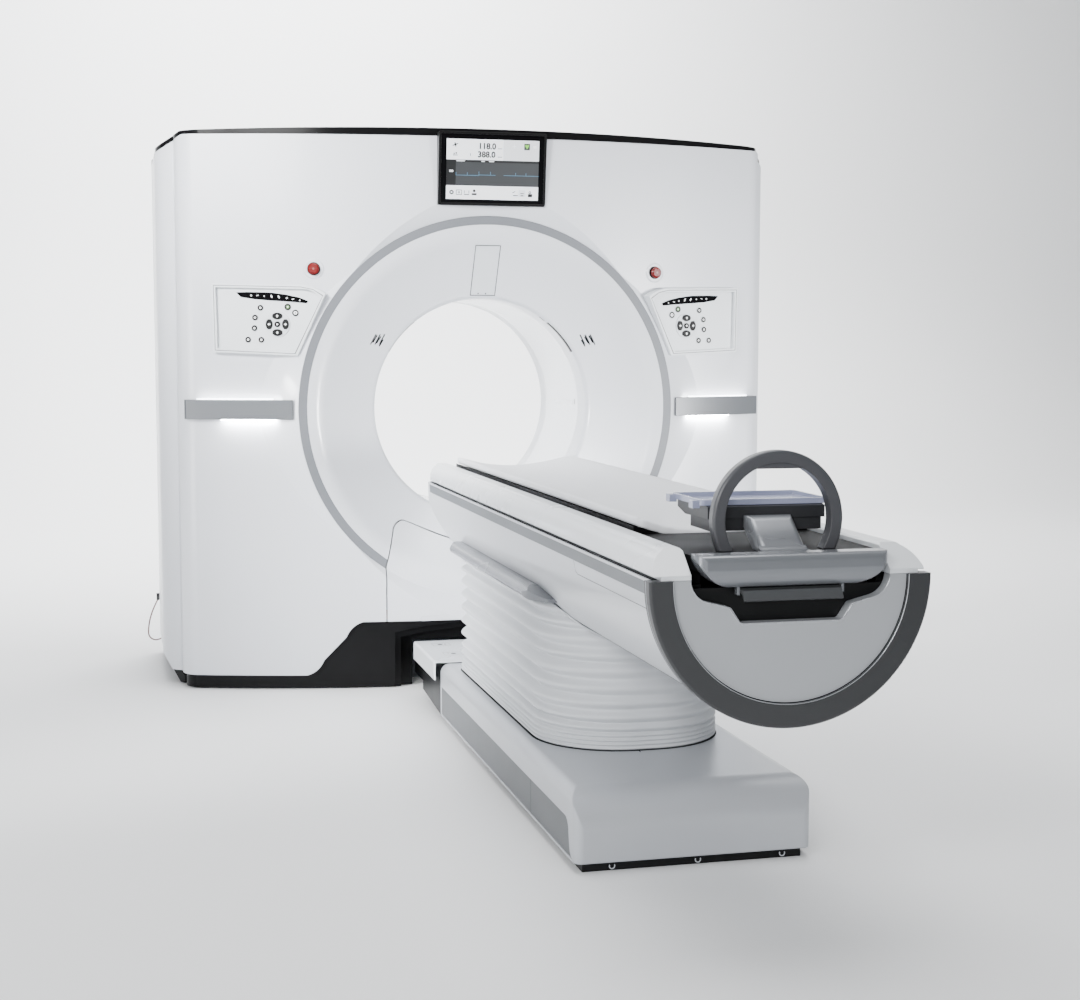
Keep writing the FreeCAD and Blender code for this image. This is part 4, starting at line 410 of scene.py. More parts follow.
# What is printed and let into the face: dark rings round white and green keys, smoked acrylic, a grey groove.
key_ring = finish("dark_key_ring", "0D0D0E", 0.3, 1.0, 0.002, drift=0.03, shine=0.3)
key_white = finish("white_key_print", "F0F2F4", 0.4, 0.8, 0.002, drift=0.01)
key_green = finish("green_key_print", "44702F", 0.4, 0.8, 0.002, drift=0.02)
lens_black = finish("smoked_indicator_lens", "08080A", 0.1, 40.0, 0.003, drift=0.02, shine=0.15)
rim_joint = finish("grey_rim_joint", "55585C", 0.5, 1.0, 0.004, drift=0.02)
LENS, WHITE, RING, GREEN, SHELL, RIM = range(6)
POD_X, POD_Y, POD_Z, POD_TURN = 762.8, -471.6, 1313.0, math.radians(16.0)


def on_pod(side):
    """The pod's own axes (u towards the bore, v up, lift out of its face) turned POD_TURN about z."""
    c, s = math.cos(POD_TURN), math.sin(POD_TURN)
    def place(u, v, lift):
        return spots_at(side * (POD_X - u * c + lift * s), POD_Y - u * s - lift * c, v + POD_Z)
    return place


def arrow_shape(u, v, size, turn):
    """An arrow head with a short tail, pointing along turn in quarter turns."""
    head = np.array([(0.0, 0.62), (0.58, -0.02), (0.24, -0.02), (0.24, -0.5), (-0.24, -0.5), (-0.24, -0.02),
                     (-0.58, -0.02)]) * size
    c, s = ((1, 0), (0, -1), (-1, 0), (0, 1))[turn]
    return [np.stack([u + head[:, 0] * c - head[:, 1] * s, v + head[:, 0] * s + head[:, 1] * c], axis=1)]


def pod_rim(inset):
    """The corners of the pod's rim, drawn in by inset."""
    return [(-231.0 + inset, 144.0 - inset), (85.0, 138.0 - inset), (132.0 - inset * 0.3, 129.0 - inset),
            (173.0 - inset * 1.3, 107.5 - inset), (72.0 - inset * 1.2, -110.6 + inset),
            (-227.5 + inset, -98.5 + inset)]


# Levels under the rim: the dish's floor, the boss round the moving keys, both kinds of key and the lens.
FLOOR, BOSS, KEY_FACE, SMALL_FACE, STRIP = -14.0, -10.0, -6.0, -11.0, -12.0
for side, word in ((-1, "left"), (1, "right")):
    place = on_pod(side)
    lens_low = [(110.0, 82.0), (104.0, 74.0), (60.0, 78.0), (10.0, 81.5), (-30.0, 84.0), (-80.0, 88.0),
                (-130.0, 96.0)]
    lens_top = [(-146.0, 112.0), (-110.0, 113.5), (-60.0, 112.5), (-20.0, 111.0), (30.0, 104.5), (75.0, 95.0)]
    marks = []                          # indicators: 0 rings, 1 slashes, 2 dots, 3 stars
    for u, v, kind in ((-92, 101, 0), (-70, 101, 1), (-46, 99, 2), (-20, 98, 3), (6, 96, 3), (34, 92, 0),
                       (56, 88, 1), (80, 84, 2)):
        marks += (ring_shape(u, v, 3.2, 1.8, 10) if kind == 0 else bar_shape(u - 4, v - 1, u + 4, v + 1.5, 2.2)
                  if kind == 1 else block_shape(u - 2, v - 2, u + 2, v + 2) if kind == 2
                  else bar_shape(u - 2, v + 5, u + 2, v - 5, 3.4) + bar_shape(u - 4, v, u + 4, v, 2.2))
    stems = bar_shape(-58, 92, -58, 78, 1.2) + bar_shape(21, 86, 21, 72, 1.2)
    layers = [(LENS, STRIP + 0.5, [np.array(lens_top + lens_low)]), (WHITE, STRIP + 0.8, marks),
              (WHITE, FLOOR + 0.3, stems)]
    for u, v, radius, tone in ((-60.0, 58.0, 10.5, WHITE), (-79.5, 23.6, 10.5, WHITE), (-82.0, -13.6, 10.5, WHITE),
                               (-105.0, -54.0, 10.5, WHITE), (-58.0, -54.5, 10.5, WHITE), (37.0, 61.0, 12.0, GREEN),
                               (64.0, 40.0, 12.0, WHITE)):
        inner = radius * (0.38 if radius < 11 else 0.52)
        layers += [(RING, SMALL_FACE + 0.5, ring_shape(u, v, radius * 0.98, inner, 20)),
                   (tone, SMALL_FACE + 0.4, ring_shape(u, v, inner, 0, 16)),
                   (RING if tone == WHITE else WHITE, SMALL_FACE + 0.7, ring_shape(u, v, inner * 0.42, 0, 8))]
    layers.append((SHELL, BOSS + 0.4, ring_shape(0.0, 0.0, 12.8, 10.9, 24)))
    outer, inner = pod_rim(6.2), pod_rim(8.6)
    layers.append((RIM, 0.3, [np.array([outer[i - 1], outer[i], inner[i], inner[i - 1]]) for i in range(6)]))
    printed(f"pod_print_{word}", layers, place, "stand",
            [lens_black, key_white, key_ring, key_green, pod_plastic, rim_joint])
    for key, u, v, turn in (("up", 0.0, 29.0, 0), ("in", 29.0, 0.0, 1), ("down", 0.0, -29.0, 2),
                            ("out", -29.0, 0.0, 3), ("centre", 0.0, 0.0, None)):
        shapes = ring_shape(u, v, 3.4, 1.2, 18) if turn is None else arrow_shape(u, v, 8.5, turn)
        printed(f"key_print_{word}_{key}", [(0, KEY_FACE + 0.3, shapes)], place, f"key_{word}_{key}", [key_white])

# ---- Emergency stops ----
# Red polycarbonate mushroom heads on black stems, in white flanges that are part of the cover. A pale
# spot in the middle of each head is a painted highlight, and a black ring round its stem is painted shadow under the
# head.
# Polycarbonate: deep red, glossy, with a small sharp highlight; the painted highlight spot and the painted shadow
# ring are dull.
stop_red = finish("red_polycarbonate", "600808", 0.24, 12.0, 0.01, edge=1.6, drift=0.03, shine=0.3)
dress(stop_red, "estop_left estop_right")
# Painted highlight: a pale spot on the top of each red head.
stop_painted_highlight = finish("pale_painted_highlight", "7C403D", 0.4, 0.8, 0.002, drift=0.02)
# Painted shadow: a black ring on the flange under each head.
stop_painted_shadow = finish("black_painted_shadow_ring", "101011", 0.6, 1.0, 0.01, drift=0.03, shine=0.2)
BOW_Y, BOW_R = -530.0, 3300.0
STOP_X, STOP_Z, STOP_TOP = 630.7, 1508.3, 23.0


def bow_y(x):
    """The front cover's bow: y(x) = BOW_Y + BOW_R - sqrt(BOW_R^2 - x^2)."""
    return BOW_Y + BOW_R - np.sqrt(BOW_R ** 2 - x ** 2)


def on_stop(side):
    """The button's own axis: it leaves the bow square to it at |x| = STOP_X; its head's top lies STOP_TOP out."""
    lean = math.asin(STOP_X / BOW_R)
    foot = np.array([side * STOP_X, bow_y(STOP_X), STOP_Z])
    out = np.array([side * math.sin(lean), -math.cos(lean), 0.0])
    across = np.array([math.cos(lean), side * math.sin(lean), 0.0])
    def place(u, v, lift):
        return foot + np.outer(u, across) + np.outer(v, (0.0, 0.0, 1.0)) + out * lift
    return place


# Each stop gets a painted highlight spot on its head and a painted shadow ring on its flange.
for side, word in ((-1, "left"), (1, "right")):
    printed(f"stop_print_{word}", [(0, STOP_TOP + 0.3, ring_shape(0, 0, 3.8, 0, 18))], on_stop(side),
            f"estop_{word}", [stop_painted_highlight])
    printed(f"stop_shadow_ring_{word}", [(0, 4.5, ring_shape(0, 0, 23.6, 9.0, 28))], on_stop(side), "stand",
            [stop_painted_shadow])

# ---- Hand ledges and their lamps ----
# Satin grey aluminium profiles, screwed to the cover along its bow. White light bars over and under each wash
# the cover.
# Anodised extrusion: mid grey, satin, a soft light along its rounded edges.
ledge_metal = finish("satin_anodised_profile", "575A5E", 0.36, 1.6, 0.004, edge=3.0, drift=0.02, metal=0.2)
dress(ledge_metal, "ledge_left ledge_right")
LEDGE_Z = 1011.0


def grid_faces(rows, columns):
    """Quads of a grid of rows x columns points, row by row, facing the side of rows x columns."""
    corner = (np.arange(rows - 1)[:, None] * columns + np.arange(columns - 1)[None, :]).ravel()
    return np.stack([corner, corner + 1, corner + columns + 1, corner + columns], axis=1)


def mend(mesh, weld=0.0, sliver=0.0):
    """Welds points closer than weld metres, drops slivers under sliver metres and turns the faces outward."""
    work = bmesh.new()
    work.from_mesh(mesh)
    if weld:
        bmesh.ops.remove_doubles(work, verts=work.verts, dist=weld)
    if sliver:
        bmesh.ops.dissolve_degenerate(work, edges=work.edges, dist=sliver)
    bmesh.ops.recalc_face_normals(work, faces=work.faces)
    work.to_mesh(mesh)
    work.free()


def light_bar(name, side, x0, x1, z0, z1, front, strength):
    """A lit bar from x0 to x1 and z0 to z1, carried along the bow from 1 mm before it to front mm before it."""
    x = np.linspace(x0, x1, 25)
    rim = np.stack([spots_at(side * x, bow_y(x) - out, z)
                    for out, z in ((1.0, z0), (front, z0), (front, z1), (1.0, z1), (1.0, z0))], axis=1)
    faces = [list(f) for f in grid_faces(len(x), 5)]
    faces += [[3, 2, 1, 0], [5 * (len(x) - 1) + i for i in range(4)]]
    if side < 0:
        faces = [f[::-1] for f in faces]
    obj = mesh_object(name, rim.reshape(-1, 3) / 1000.0, faces, smooth=False)
    mend(obj.data, weld=1e-6)
    obj.data.materials.append(glow(name + "_diffuser", "F6F9FF", strength))
    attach(obj, "stand")


for side, word in ((-1, "left"), (1, "right")):
    light_bar(f"lamp_low_{word}", side, 752.0, 958.0, 972.0, 976.5, 10.0, 26.0)
    light_bar(f"lamp_top_{word}", side, 735.0, 1040.0, 1047.0, 1050.0, 8.0, 9.0)
    # What the bars throw on the cover: a soft oval under the ledge and a thin band over it.
    for x, width, drop, power in ((855.0, 0.19, -1.0, 0.9), (888.0, 0.29, 1.0, 0.35)):
        wash = bpy.data.lights.new(f"wash_{word}", "AREA")
        wash.shape, wash.size, wash.size_y, wash.energy = "RECTANGLE", width, 0.008, power
        throw = put(f"wash_{word}_{'low' if drop < 0 else 'top'}", wash)
        turn = math.asin(x / BOW_R)
        away = Vector((side * math.sin(turn), -math.cos(turn), 0.0))
        aim = Vector((0.0, 0.0, drop)) - 0.7 * away
        throw.matrix_world = Matrix.LocRotScale(
            Vector((side * x, bow_y(x), LEDGE_Z + 36.0 * drop)) / 1000.0 + away * 0.020,
            aim.to_track_quat("-Z", "Y").to_matrix(), None)

# ---- Inside the gantry ----
# Welded floor frame and stator plate, the big bearing and its ring motor, and the aluminium drum that carries
# the tube, generator and detector. Seen through parting gaps and in section only.
# Grey enamel and light enamel, both even; bright ground steel; warm varnished copper; grey cast aluminium;
# dark satin carbon fibre.
frame_paint = finish("grey_structure_enamel", "7C8187", 0.45, 2.0, 0.02, edge=2.0, drift=0.03)
dress(frame_paint, "floor_frame stator_frame")
bearing_steel = finish("ground_bearing_steel", "B4B7BA", 0.24, 0.9, 0.004, drift=0.02, metal=1.0)
dress(bearing_steel, "bearing_outer_race")
copper_winding = finish("varnished_copper_winding", "A9683F", 0.35, 2.5, 0.06, drift=0.04, metal=0.9)
dress(copper_winding, "drive_stator")
cast_drum = finish("cast_aluminium_drum", "A9ADB1", 0.4, 2.2, 0.05, edge=2.0, drift=0.03, metal=0.9)
dress(cast_drum, "rotor_drum")
tube_housing = finish("light_grey_tube_enamel", "C9CCCF", 0.35, 2.0, 0.02, edge=2.0, drift=0.02)
dress(tube_housing, "xray_tube hv_generator")
carbon_cover = finish("carbon_fibre_cover", "2B2D30", 0.32, 1.6, 0.02, edge=1.0, drift=0.03, coat=0.4)
dress(carbon_cover, "slip_ring detector_arc")

# ---- Table base and bridge ----
# A silver-lacquered moulded cover is clipped over the steel pan, with mid-grey panels let into its sides. The
# white bridge cover hides the cable duct that ties the table to the gantry.
# Metallic lacquer: pale silver whose broad edges turn from light to shade.
base_lacquer = finish("silver_metallic_lacquer", "B2B5BA", 0.36, 1.2, 0.006, edge=6.0, drift=0.02, metal=0.25,
                      coat=0.15)
dress(base_lacquer, "base_cover")
# Powder coat: mid grey and matt. Structure paint: near black, for the pan and the table's frame.
panel_paint = finish("mid_grey_powder_coat", "54575A", 0.45, 1.6, 0.015, edge=1.5, drift=0.02)
dress(panel_paint, "base_side_panels")
pan_paint = finish("dark_structure_paint", "0E0F10", 0.4, 2.0, 0.02, edge=1.5, drift=0.03, shine=0.2)
dress(pan_paint, "base_frame table_frame")
# The covers' white, a little glossier. Under it the lift's column is hard chrome, drawn along its height.
table_white = finish("white_table_lacquer", "D6DADE", 0.28, 8.0, 0.008, edge=3.0, drift=0.012, coat=0.3)
dress(table_white, "bridge_cover rail_left rail_right")
column_steel = finish("hard_chromed_column", "9B9FA4", 0.25, 1.0, 0.004, drift=0.02, metal=1.0,
                      brush=(1.0, 1.0, 0.08))
dress(column_steel, "lift_middle_column")


def on_level(z):
    """A level face seen from above: u is x, v is y, lifted in z."""
    def place(u, v, lift):
        return spots_at(u, v, z + lift)
    return place


def on_front(y):
    """An upright face that looks at the near end: u is x, v is z."""
    def place(u, v, lift):
        return spots_at(u, y - lift, v)
    return place


BASE_TOP, BRIDGE_TOP = 195.0, 201.0
# Open joints, and painted contact shadows where parts meet: dull black lines that take no light.
dark_joint_and_shadow = finish("dark_joint_and_shadow_line", "151617", 0.6, 1.0, 0.005, drift=0.03, shine=0.2)
printed("base_slit", [(0, 0.3, bar_shape(-24.5, -2362.0, -24.5, -2413.0, 3.0))], on_level(BASE_TOP), "stand",
        [dark_joint_and_shadow])
# Two square lids on the bridge, each with a screw head and a dot.
bridge = [(0, 0.2, bar_shape(x0, y0, x1, y1, 1.4))
          for a, b, c, d in ((-266, -795, -206, -745), (-262, -975, -202, -925))
          for x0, y0, x1, y1 in ((a, b, c, b), (c, b, c, d), (c, d, a, d), (a, d, a, b))]
bridge += [(1, 0.4, ring_shape(-240, -770, 9, 0, 14)), (1, 0.4, ring_shape(-222, -770, 3, 0, 8)),
           (1, 0.4, ring_shape(-228, -950, 9, 0, 14)), (0, 0.4, ring_shape(-246, -950, 3, 0, 8))]
printed("bridge_lids", bridge, on_level(BRIDGE_TOP), "stand", [panel_paint, dark_joint_and_shadow])


def tab_shape(u, v):
    """A pull tab: a ring 16 mm wide, open at its top where it passes behind the cover's edge."""
    turn = np.linspace(math.pi - 0.5, 2 * math.pi + 0.5, 13)
    rim, core = (np.stack([u + r * np.cos(turn), v + r * np.sin(turn)], axis=1) for r in (8.0, 5.4))
    return [np.array([rim[i], rim[i + 1], core[i + 1], core[i]]) for i in range(12)]


# Bright wire: small pale loops against the dark pan.
tab_wire = finish("bright_pull_tab", "C9CCD0", 0.3, 0.8, 0.002, drift=0.02, metal=0.8)
printed("pull_tabs", [(0, 1.5, tab_shape(x, 13.0)) for x in (-206.0, 10.0, 227.0)], on_front(-2766.0), "stand",
        [tab_wire], thick=1.2)

# ---- Bellows ----
# A coated-fabric bellows, glued to a flange on the base and to the hull's underside. Soft wide folds hang
# above; the lowest folds are packed into thin rims where the table's height has closed them.
# Coated fabric: white, matt, so that each fold shades softly.
bellows_cloth = finish("coated_bellows_fabric", "C6C9CD", 0.5, 1.4, 0.02, drift=0.02)
HULL_R, HULL_Z = 298.0, 774.0


def bellows_plan(count):
    """A rounded rectangle walked counterclockwise from its far right corner: four straights and four quarter
    arcs, sampled evenly by length; also gives each point's way out and its share of the walk."""
    half, near, far, near_r, far_r = 255.0, -2396.0, -1120.5, 225.0, 105.0
    corners = [((half - far_r, far - far_r), far_r, 0.0), ((-half + far_r, far - far_r), far_r, 90.0),
               ((-half + near_r, near + near_r), near_r, 180.0), ((half - near_r, near + near_r), near_r, 270.0)]
    spots, ways = [], []
    for (x, y), r, start in corners:
        turn = np.radians(np.linspace(start, start + 90.0, 40))
        way = np.stack([np.cos(turn), np.sin(turn)], axis=1)
        spots.append(np.array([x, y]) + r * way)
        ways.append(way)
    spots, ways = np.vstack(spots + [spots[0][:1]]), np.vstack(ways + [ways[0][:1]])
    walked = np.concatenate([[0.0], np.cumsum(np.hypot(*np.diff(spots, axis=0).T))])
    at = np.linspace(0.0, walked[-1], count + 1)[:-1]
    spot, way = (np.stack([np.interp(at, walked, values[:, i]) for i in (0, 1)], axis=1) for values in (spots, ways))
    return spot, way / np.hypot(*way.T)[:, None], at / walked[-1]


def bellows_skin():
    """r(s, z) = plan outline - depth (1 - crest(z)), where crest rises from 0 in a valley to 1 on a fold as
    (0.5 - 0.5 cos)^p; depth and fold heights differ from fold to fold and drift a little along the outline."""
    edges = [195.6, 206.0, 217.0, 228.5, 241.0, 267.0, 300.0, 338.0, 384.0, 424.0, 468.0, 508.0, 545.0, 580.0]
    depths = [8.0, 9.0, 9.0, 10.0, 15.0, 20.0, 19.0, 23.0, 20.0, 24.0, 21.0, 22.0, 16.0]
    levels, depth, crest = [], [], []
    for low, high, deep in zip(edges[:-1], edges[1:], depths):
        part = np.linspace(0.0, 1.0, 9 if high - low < 13.0 else 15)[:-1]
        levels.append(low + part * (high - low))
        depth.append(np.full(len(part), deep))
        crest.append((0.5 - 0.5 * np.cos(2 * math.pi * part ** 0.92)) ** 0.8)
    levels, depth, crest = (np.concatenate(v) for v in (levels, depth, crest))
    outline, way, along = bellows_plan(260)
    sway = np.sin(2 * math.pi * (3 * along[None, :] + levels[:, None] / 90.0))
    height = levels[:, None] + 1.6 * sway * np.clip((levels[:, None] - 226.0) / 40.0, 0.0, 1.0)
    soft = 1.0 + 0.12 * np.sin(2 * math.pi * (2 * along[None, :] + levels[:, None] / 61.0))
    near_end = np.clip((-way[:, 1] - 0.2) / 0.8, 0.0, 1.0)[None, :]
    inset = depth[:, None] * (1.0 - crest[:, None]) * soft * (1.0 - 0.45 * near_end)
    spots = outline[None, :, :] - way[None, :, :] * (inset + 0.6)[:, :, None]
    under = HULL_Z - np.sqrt(np.clip(HULL_R ** 2 - spots[:, :, 0] ** 2, 0.0, None)) - 4.0
    points = np.concatenate([spots, np.minimum(height, under)[:, :, None]], axis=2)
    return points, len(levels), len(outline)


def loop_faces(rows, columns):
    """Quads between rows closed loops of columns points each."""
    first = (np.arange(rows - 1)[:, None] * columns + np.arange(columns)[None, :]).ravel()
    second = (np.arange(rows - 1)[:, None] * columns + (np.arange(columns) + 1)[None, :] % columns).ravel()
    return np.stack([first, second, second + columns, first + columns], axis=1)


# Painted contact shadow: a dark band where the lowest fold meets the base.
outline, way, _ = bellows_plan(120)
inner, outer = outline - way * 6.0, outline + way * 2.6
printed("bellows_foot_shadow", [(0, 0.3, [np.array([inner[i - 1], inner[i], outer[i], outer[i - 1]]) for i in range(120)])],
        on_level(BASE_TOP), "stand", [dark_joint_and_shadow])
points, rows, columns = bellows_skin()
bellows = mesh_object("bellows_skin", points.reshape(-1, 3) / 1000.0, loop_faces(rows, columns))
mend(bellows.data, weld=2e-4, sliver=1e-5)
bellows.data.materials.append(bellows_cloth)
wall = bellows.modifiers.new("fabric_wall", "SOLIDIFY")
wall.thickness = 0.0025
wall.offset = -1.0
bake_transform(bellows)
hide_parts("bellows")

# ---- Hull, stripe and grips ----
# The long half-round hull is laid up in glass fibre and lacquered white. A grey anodised strip is bonded along
# its upper edge, under the rails, and satin grips are screwed to its flanks.
# Hull lacquer: the table's white painted a shade deeper, as painted shade for its shadow side.
hull_shade_lacquer = finish("painted_shade_hull_lacquer", "C2C5CA", 0.3, 8.0, 0.01, edge=2.0, drift=0.015, coat=0.2)
dress(hull_shade_lacquer, "hull_shell")
# Anodised strip: mid grey, brushed along its length. Grips: darker satin with a clear lacquer's sheen.
strip_metal = finish("anodised_hull_strip", "5C6064", 0.4, 1.0, 0.004, drift=0.02, metal=0.2,
                     brush=(1.0, 0.05, 1.0))
grip_satin = finish("satin_grip_moulding", "6C6F74", 0.26, 1.6, 0.004, edge=2.0, drift=0.02, metal=0.25, coat=0.2)
dress(grip_satin, "side_grips")
CORNER_Y, CORNER_R = -3282.0, 100.0


def hull_side(side):
    """The hull's flank: u is y, v is z; x follows the hull's circle, and the corner's from CORNER_Y on."""
    def place(u, v, lift):
        arc = np.sqrt(HULL_R ** 2 - (v - HULL_Z) ** 2)
        corner = 200.0 + np.sqrt(CORNER_R ** 2 - np.clip(CORNER_Y - u, 0.0, 99.0) ** 2)
        return spots_at(side * (np.minimum(arc, np.where(u < CORNER_Y, corner, HULL_R)) + lift), u, v)
    return place


for side, word in ((-1, "left"), (1, "right")):
    along = np.concatenate([np.linspace(-3321.0, -3270.0, 9), np.linspace(-3200.0, -900.0, 12)])
    up = np.linspace(747.0, 773.5, 5)
    strip = [np.array([(a, c), (b, c), (b, d), (a, d)]) for a, b in zip(along[:-1], along[1:])
             for c, d in zip(up[:-1], up[1:])]
    printed(f"hull_strip_{word}", [(0, 0.6, strip)], hull_side(side), "table_top", [strip_metal])
    turn = np.radians(np.linspace(0.0, -90.0, 8))
    curve = [(-3296.0 - 16.0 * math.cos(t), 732.0 + 16.0 * math.sin(t)) for t in turn]
    track = [(-3312.0, 746.0)] + curve + [(-2760.0, 716.0), (-2748.0, 722.0), (-2742.0, 746.0)]
    groove = [bar_shape(*a, *b, 1.3)[0] for a, b in zip(track[:-1], track[1:])]
    # Painted contact shadow: a dark line along the flank at z 530, where the hull's lower edge meets the bellows.
    printed(f"hull_shadow_line_{word}", [(0, 0.5, bar_shape(-3312.0, 530.0, -900.0, 530.0, 3.0))], hull_side(side),
            "table_top", [dark_joint_and_shadow])
    printed(f"hull_panel_{word}", [(0, 0.3, groove)], hull_side(side), "table_top", [panel_paint])

# ---- End frame and panel ----
# A dark anodised half-round frame closes the near end, with thin rims rolled on both its edges, coloured bright as
# painted edge highlights. The satin panel inside it has a lip round the notch that the handle bar parks in, coloured
# bright as a painted highlight too.
# Dark anodising: charcoal, satin. Satin lacquer on the panel: pale silver. Rolled rims: thin lines in a bright
# colour that paints the edges' highlights.
frame_dark = finish("dark_anodised_frame", "313234", 0.36, 1.2, 0.004, edge=3.0, drift=0.02, shine=0.45)
dress(frame_dark, "end_frame")
end_satin = finish("satin_silver_panel", "A0A3A7", 0.42, 1.0, 0.004, edge=3.0, drift=0.02, metal=0.15,
                   brush=(1.0, 1.0, 0.1))
dress(end_satin, "end_panel")
highlight_rim = finish("painted_highlight_rim", "B9BCC0", 0.28, 1.0, 0.002, drift=0.02, metal=0.7)


def swept(name, path, ways, section, material, body, slot):
    """A closed section of (out, forward) offsets carried along a path of (x, y, z) points; out follows ways and
    forward is -y."""
    rows, columns = len(path), len(section)
    spots = np.zeros((rows, columns, 3))
    spots[:, :, 0] = path[:, 0:1] + ways[:, 0:1] * section[None, :, 0]
    spots[:, :, 1] = path[:, 1:2] - section[None, :, 1]
    spots[:, :, 2] = path[:, 2:3] + ways[:, 1:2] * section[None, :, 0]
    faces = list(loop_faces(rows, columns))
    faces += [list(range(columns))[::-1], [(rows - 1) * columns + i for i in range(columns)]]
    obj = mesh_object(name, spots.reshape(-1, 3) / 1000.0, faces)
    mend(obj.data)
    obj.data.materials.append(material)
    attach(obj, body)


def half_round(radius, y):
    """A U: straight down from the rim's top at |x| = radius, half a circle about HULL_Z, straight up again."""
    top, turn = 778.5, np.linspace(math.pi, 2 * math.pi, 65)
    x, z = radius * np.cos(turn), HULL_Z + radius * np.sin(turn)
    path = spots_at(np.concatenate([[-radius], x, [radius]]), y, np.concatenate([[top], z, [top]]))
    ways = np.stack([np.concatenate([[-1.0], np.cos(turn), [1.0]]), np.concatenate([[0.0], np.sin(turn), [0.0]])],
                    axis=1)
    return path, ways


def bead(out, deep):
    """An elliptical bead of half width out and half depth deep."""
    turn = np.linspace(0.0, 2 * math.pi, 9)[:-1]
    return np.stack([out * np.cos(turn), deep * np.sin(turn)], axis=1)


# Painted highlights: bright beads along the frame's edges.
swept("end_rim_outer", *half_round(305.5, -3324.5), bead(2.4, 2.0), highlight_rim, "table_top", "frame_dark")
swept("end_rim_step", *half_round(306.8, -3332.5), bead(1.6, 1.4), highlight_rim, "table_top", "frame_dark")
swept("end_rim_inner", *half_round(257.3, -3357.0), bead(0.9, 1.6), highlight_rim, "table_top", "frame_dark")
swept("end_gap_line", *half_round(255.3, -3350.4), bead(1.2, 0.5), dark_joint_and_shadow, "table_top", "gloss_black")


def notch_lip():
    """The notch's outline from the left top to the right top, corners eased, with the way into the panel."""
    left = [(-217.0, 776.0), (-216.0, 768.0), (-212.0, 758.0), (-203.0, 745.0), (-192.0, 737.5), (-180.0, 733.5),
            (-165.0, 730.0), (-140.0, 723.5), (-133.5, 720.0), (-129.0, 713.0), (-115.0, 694.0), (-111.0, 690.0),
            (-105.0, 688.0)]
    spots = np.array(left + [(-40.0, 688.0), (40.0, 688.0)] + [(-x, z) for x, z in left[::-1]])
    run = np.gradient(spots, axis=0)
    way = np.stack([-run[:, 1], run[:, 0]], axis=1) / np.hypot(*run.T)[:, None]
    return spots_at(spots[:, 0], -3349.6, spots[:, 1]), -way


# Painted highlight: a bright bead round the notch.
swept("notch_lip", *notch_lip(), bead(1.5, 1.1) + np.array([1.4, 0.0]), highlight_rim, "table_top", "end_grey")

# ---- Cradle and mattress ----
# The patient rides on a carbon-fibre cradle, black and satin, with a white vinyl-covered foam pad laid in its
# dish. The cradle's flat foot stays bare behind the handle bar.
# Carbon laminate: black, satin, hardly any highlight. Vinyl: white, soft, with a fine leather grain.
cradle_carbon = finish("satin_carbon_laminate", "0A0A0B", 0.5, 2.0, 0.012, edge=2.0, drift=0.03, shine=0.05)
dress(cradle_carbon, "cradle")
pad_vinyl = finish("white_vinyl_upholstery", "E4E6EA", 0.42, 1.4, 0.03, drift=0.012)


def pad_from(node, shrink):
    """A merged copy of the pad's CAD solid, its faces drawn in by shrink metres along their normals."""
    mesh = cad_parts[node].data.copy()
    mesh.materials.clear()
    pad = put("mattress_pad", mesh)
    mend(mesh, weld=1e-5)
    if "custom_normal" in mesh.attributes:
        mesh.attributes.remove(mesh.attributes["custom_normal"])
    net = pad.modifiers.new("net", "REMESH")
    net.mode = "VOXEL"
    net.voxel_size = 0.0075
    net.use_smooth_shade = True
    draw_in = pad.modifiers.new("draw_in", "DISPLACE")
    draw_in.strength = -shrink
    draw_in.mid_level = 0.0
    held = bpy.data.meshes.new_from_object(pad.evaluated_get(bpy.context.evaluated_depsgraph_get()))
    pad.modifiers.clear()
    pad.data = held
    return pad


def points_of(mesh):
    """A mesh's points as rows."""
    flat = np.empty(len(mesh.vertices) * 3)
    mesh.vertices.foreach_get("co", flat)
    return flat.reshape(-1, 3)


# The stuffing pushes the cover out for 14 frames; it may rise by 3 mm, and sideways by two fifths of its push.
FRAMES, RISE, SIDEWAYS = 14, 0.003, 0.4
pad = pad_from("mattress", 0.0015)
rest = points_of(pad.data)
cloth = pad.modifiers.new("stuffing", "CLOTH")
cloth.settings.use_pressure = True
cloth.settings.uniform_pressure_force = 4.0
cloth.settings.effector_weights.gravity = 0.0
cloth.settings.quality = 4
cloth.point_cache.frame_end = FRAMES
for step in range(1, FRAMES + 1):
    bpy.context.scene.frame_set(step)
swollen = bpy.data.meshes.new_from_object(pad.evaluated_get(bpy.context.evaluated_depsgraph_get()))
moved = points_of(swollen) - rest
pad.modifiers.clear()
bpy.context.scene.frame_set(1)
length = np.linalg.norm(moved, axis=1, keepdims=True)
moved *= np.minimum(1.0, RISE / np.maximum(length, 1e-9))
moved[:, 2] = np.maximum(moved[:, 2], 0.0)
moved[:, 0] *= SIDEWAYS
rest = rest + moved
pad.data.vertices.foreach_set("co", rest.ravel())
pad.data.polygons.foreach_set("use_smooth", np.ones(len(pad.data.polygons), bool))
pad.data.update()
pad.data.materials.append(pad_vinyl)
soft = pad.modifiers.new("soft", "SUBSURF")
soft.levels = soft.render_levels = 1
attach(pad, "cradle")
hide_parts("mattress")

# ---- Handle bar, lever, hoop and tray ----
# The boat-shaped bar and the post that leans up to the tray are one casting, screwed to the cradle's foot. The
# release lever turns on a pin under it. The hoop is a dark moulded ring, and the tray rests on its support.
# Silver lacquer: mid grey, a soft sheen along each edge.
bar_silver = finish("satin_silver_lacquer", "7C7F84", 0.28, 1.4, 0.004, edge=4.0, drift=0.02, metal=0.5, coat=0.2)
dress(bar_silver, "handle_bar")
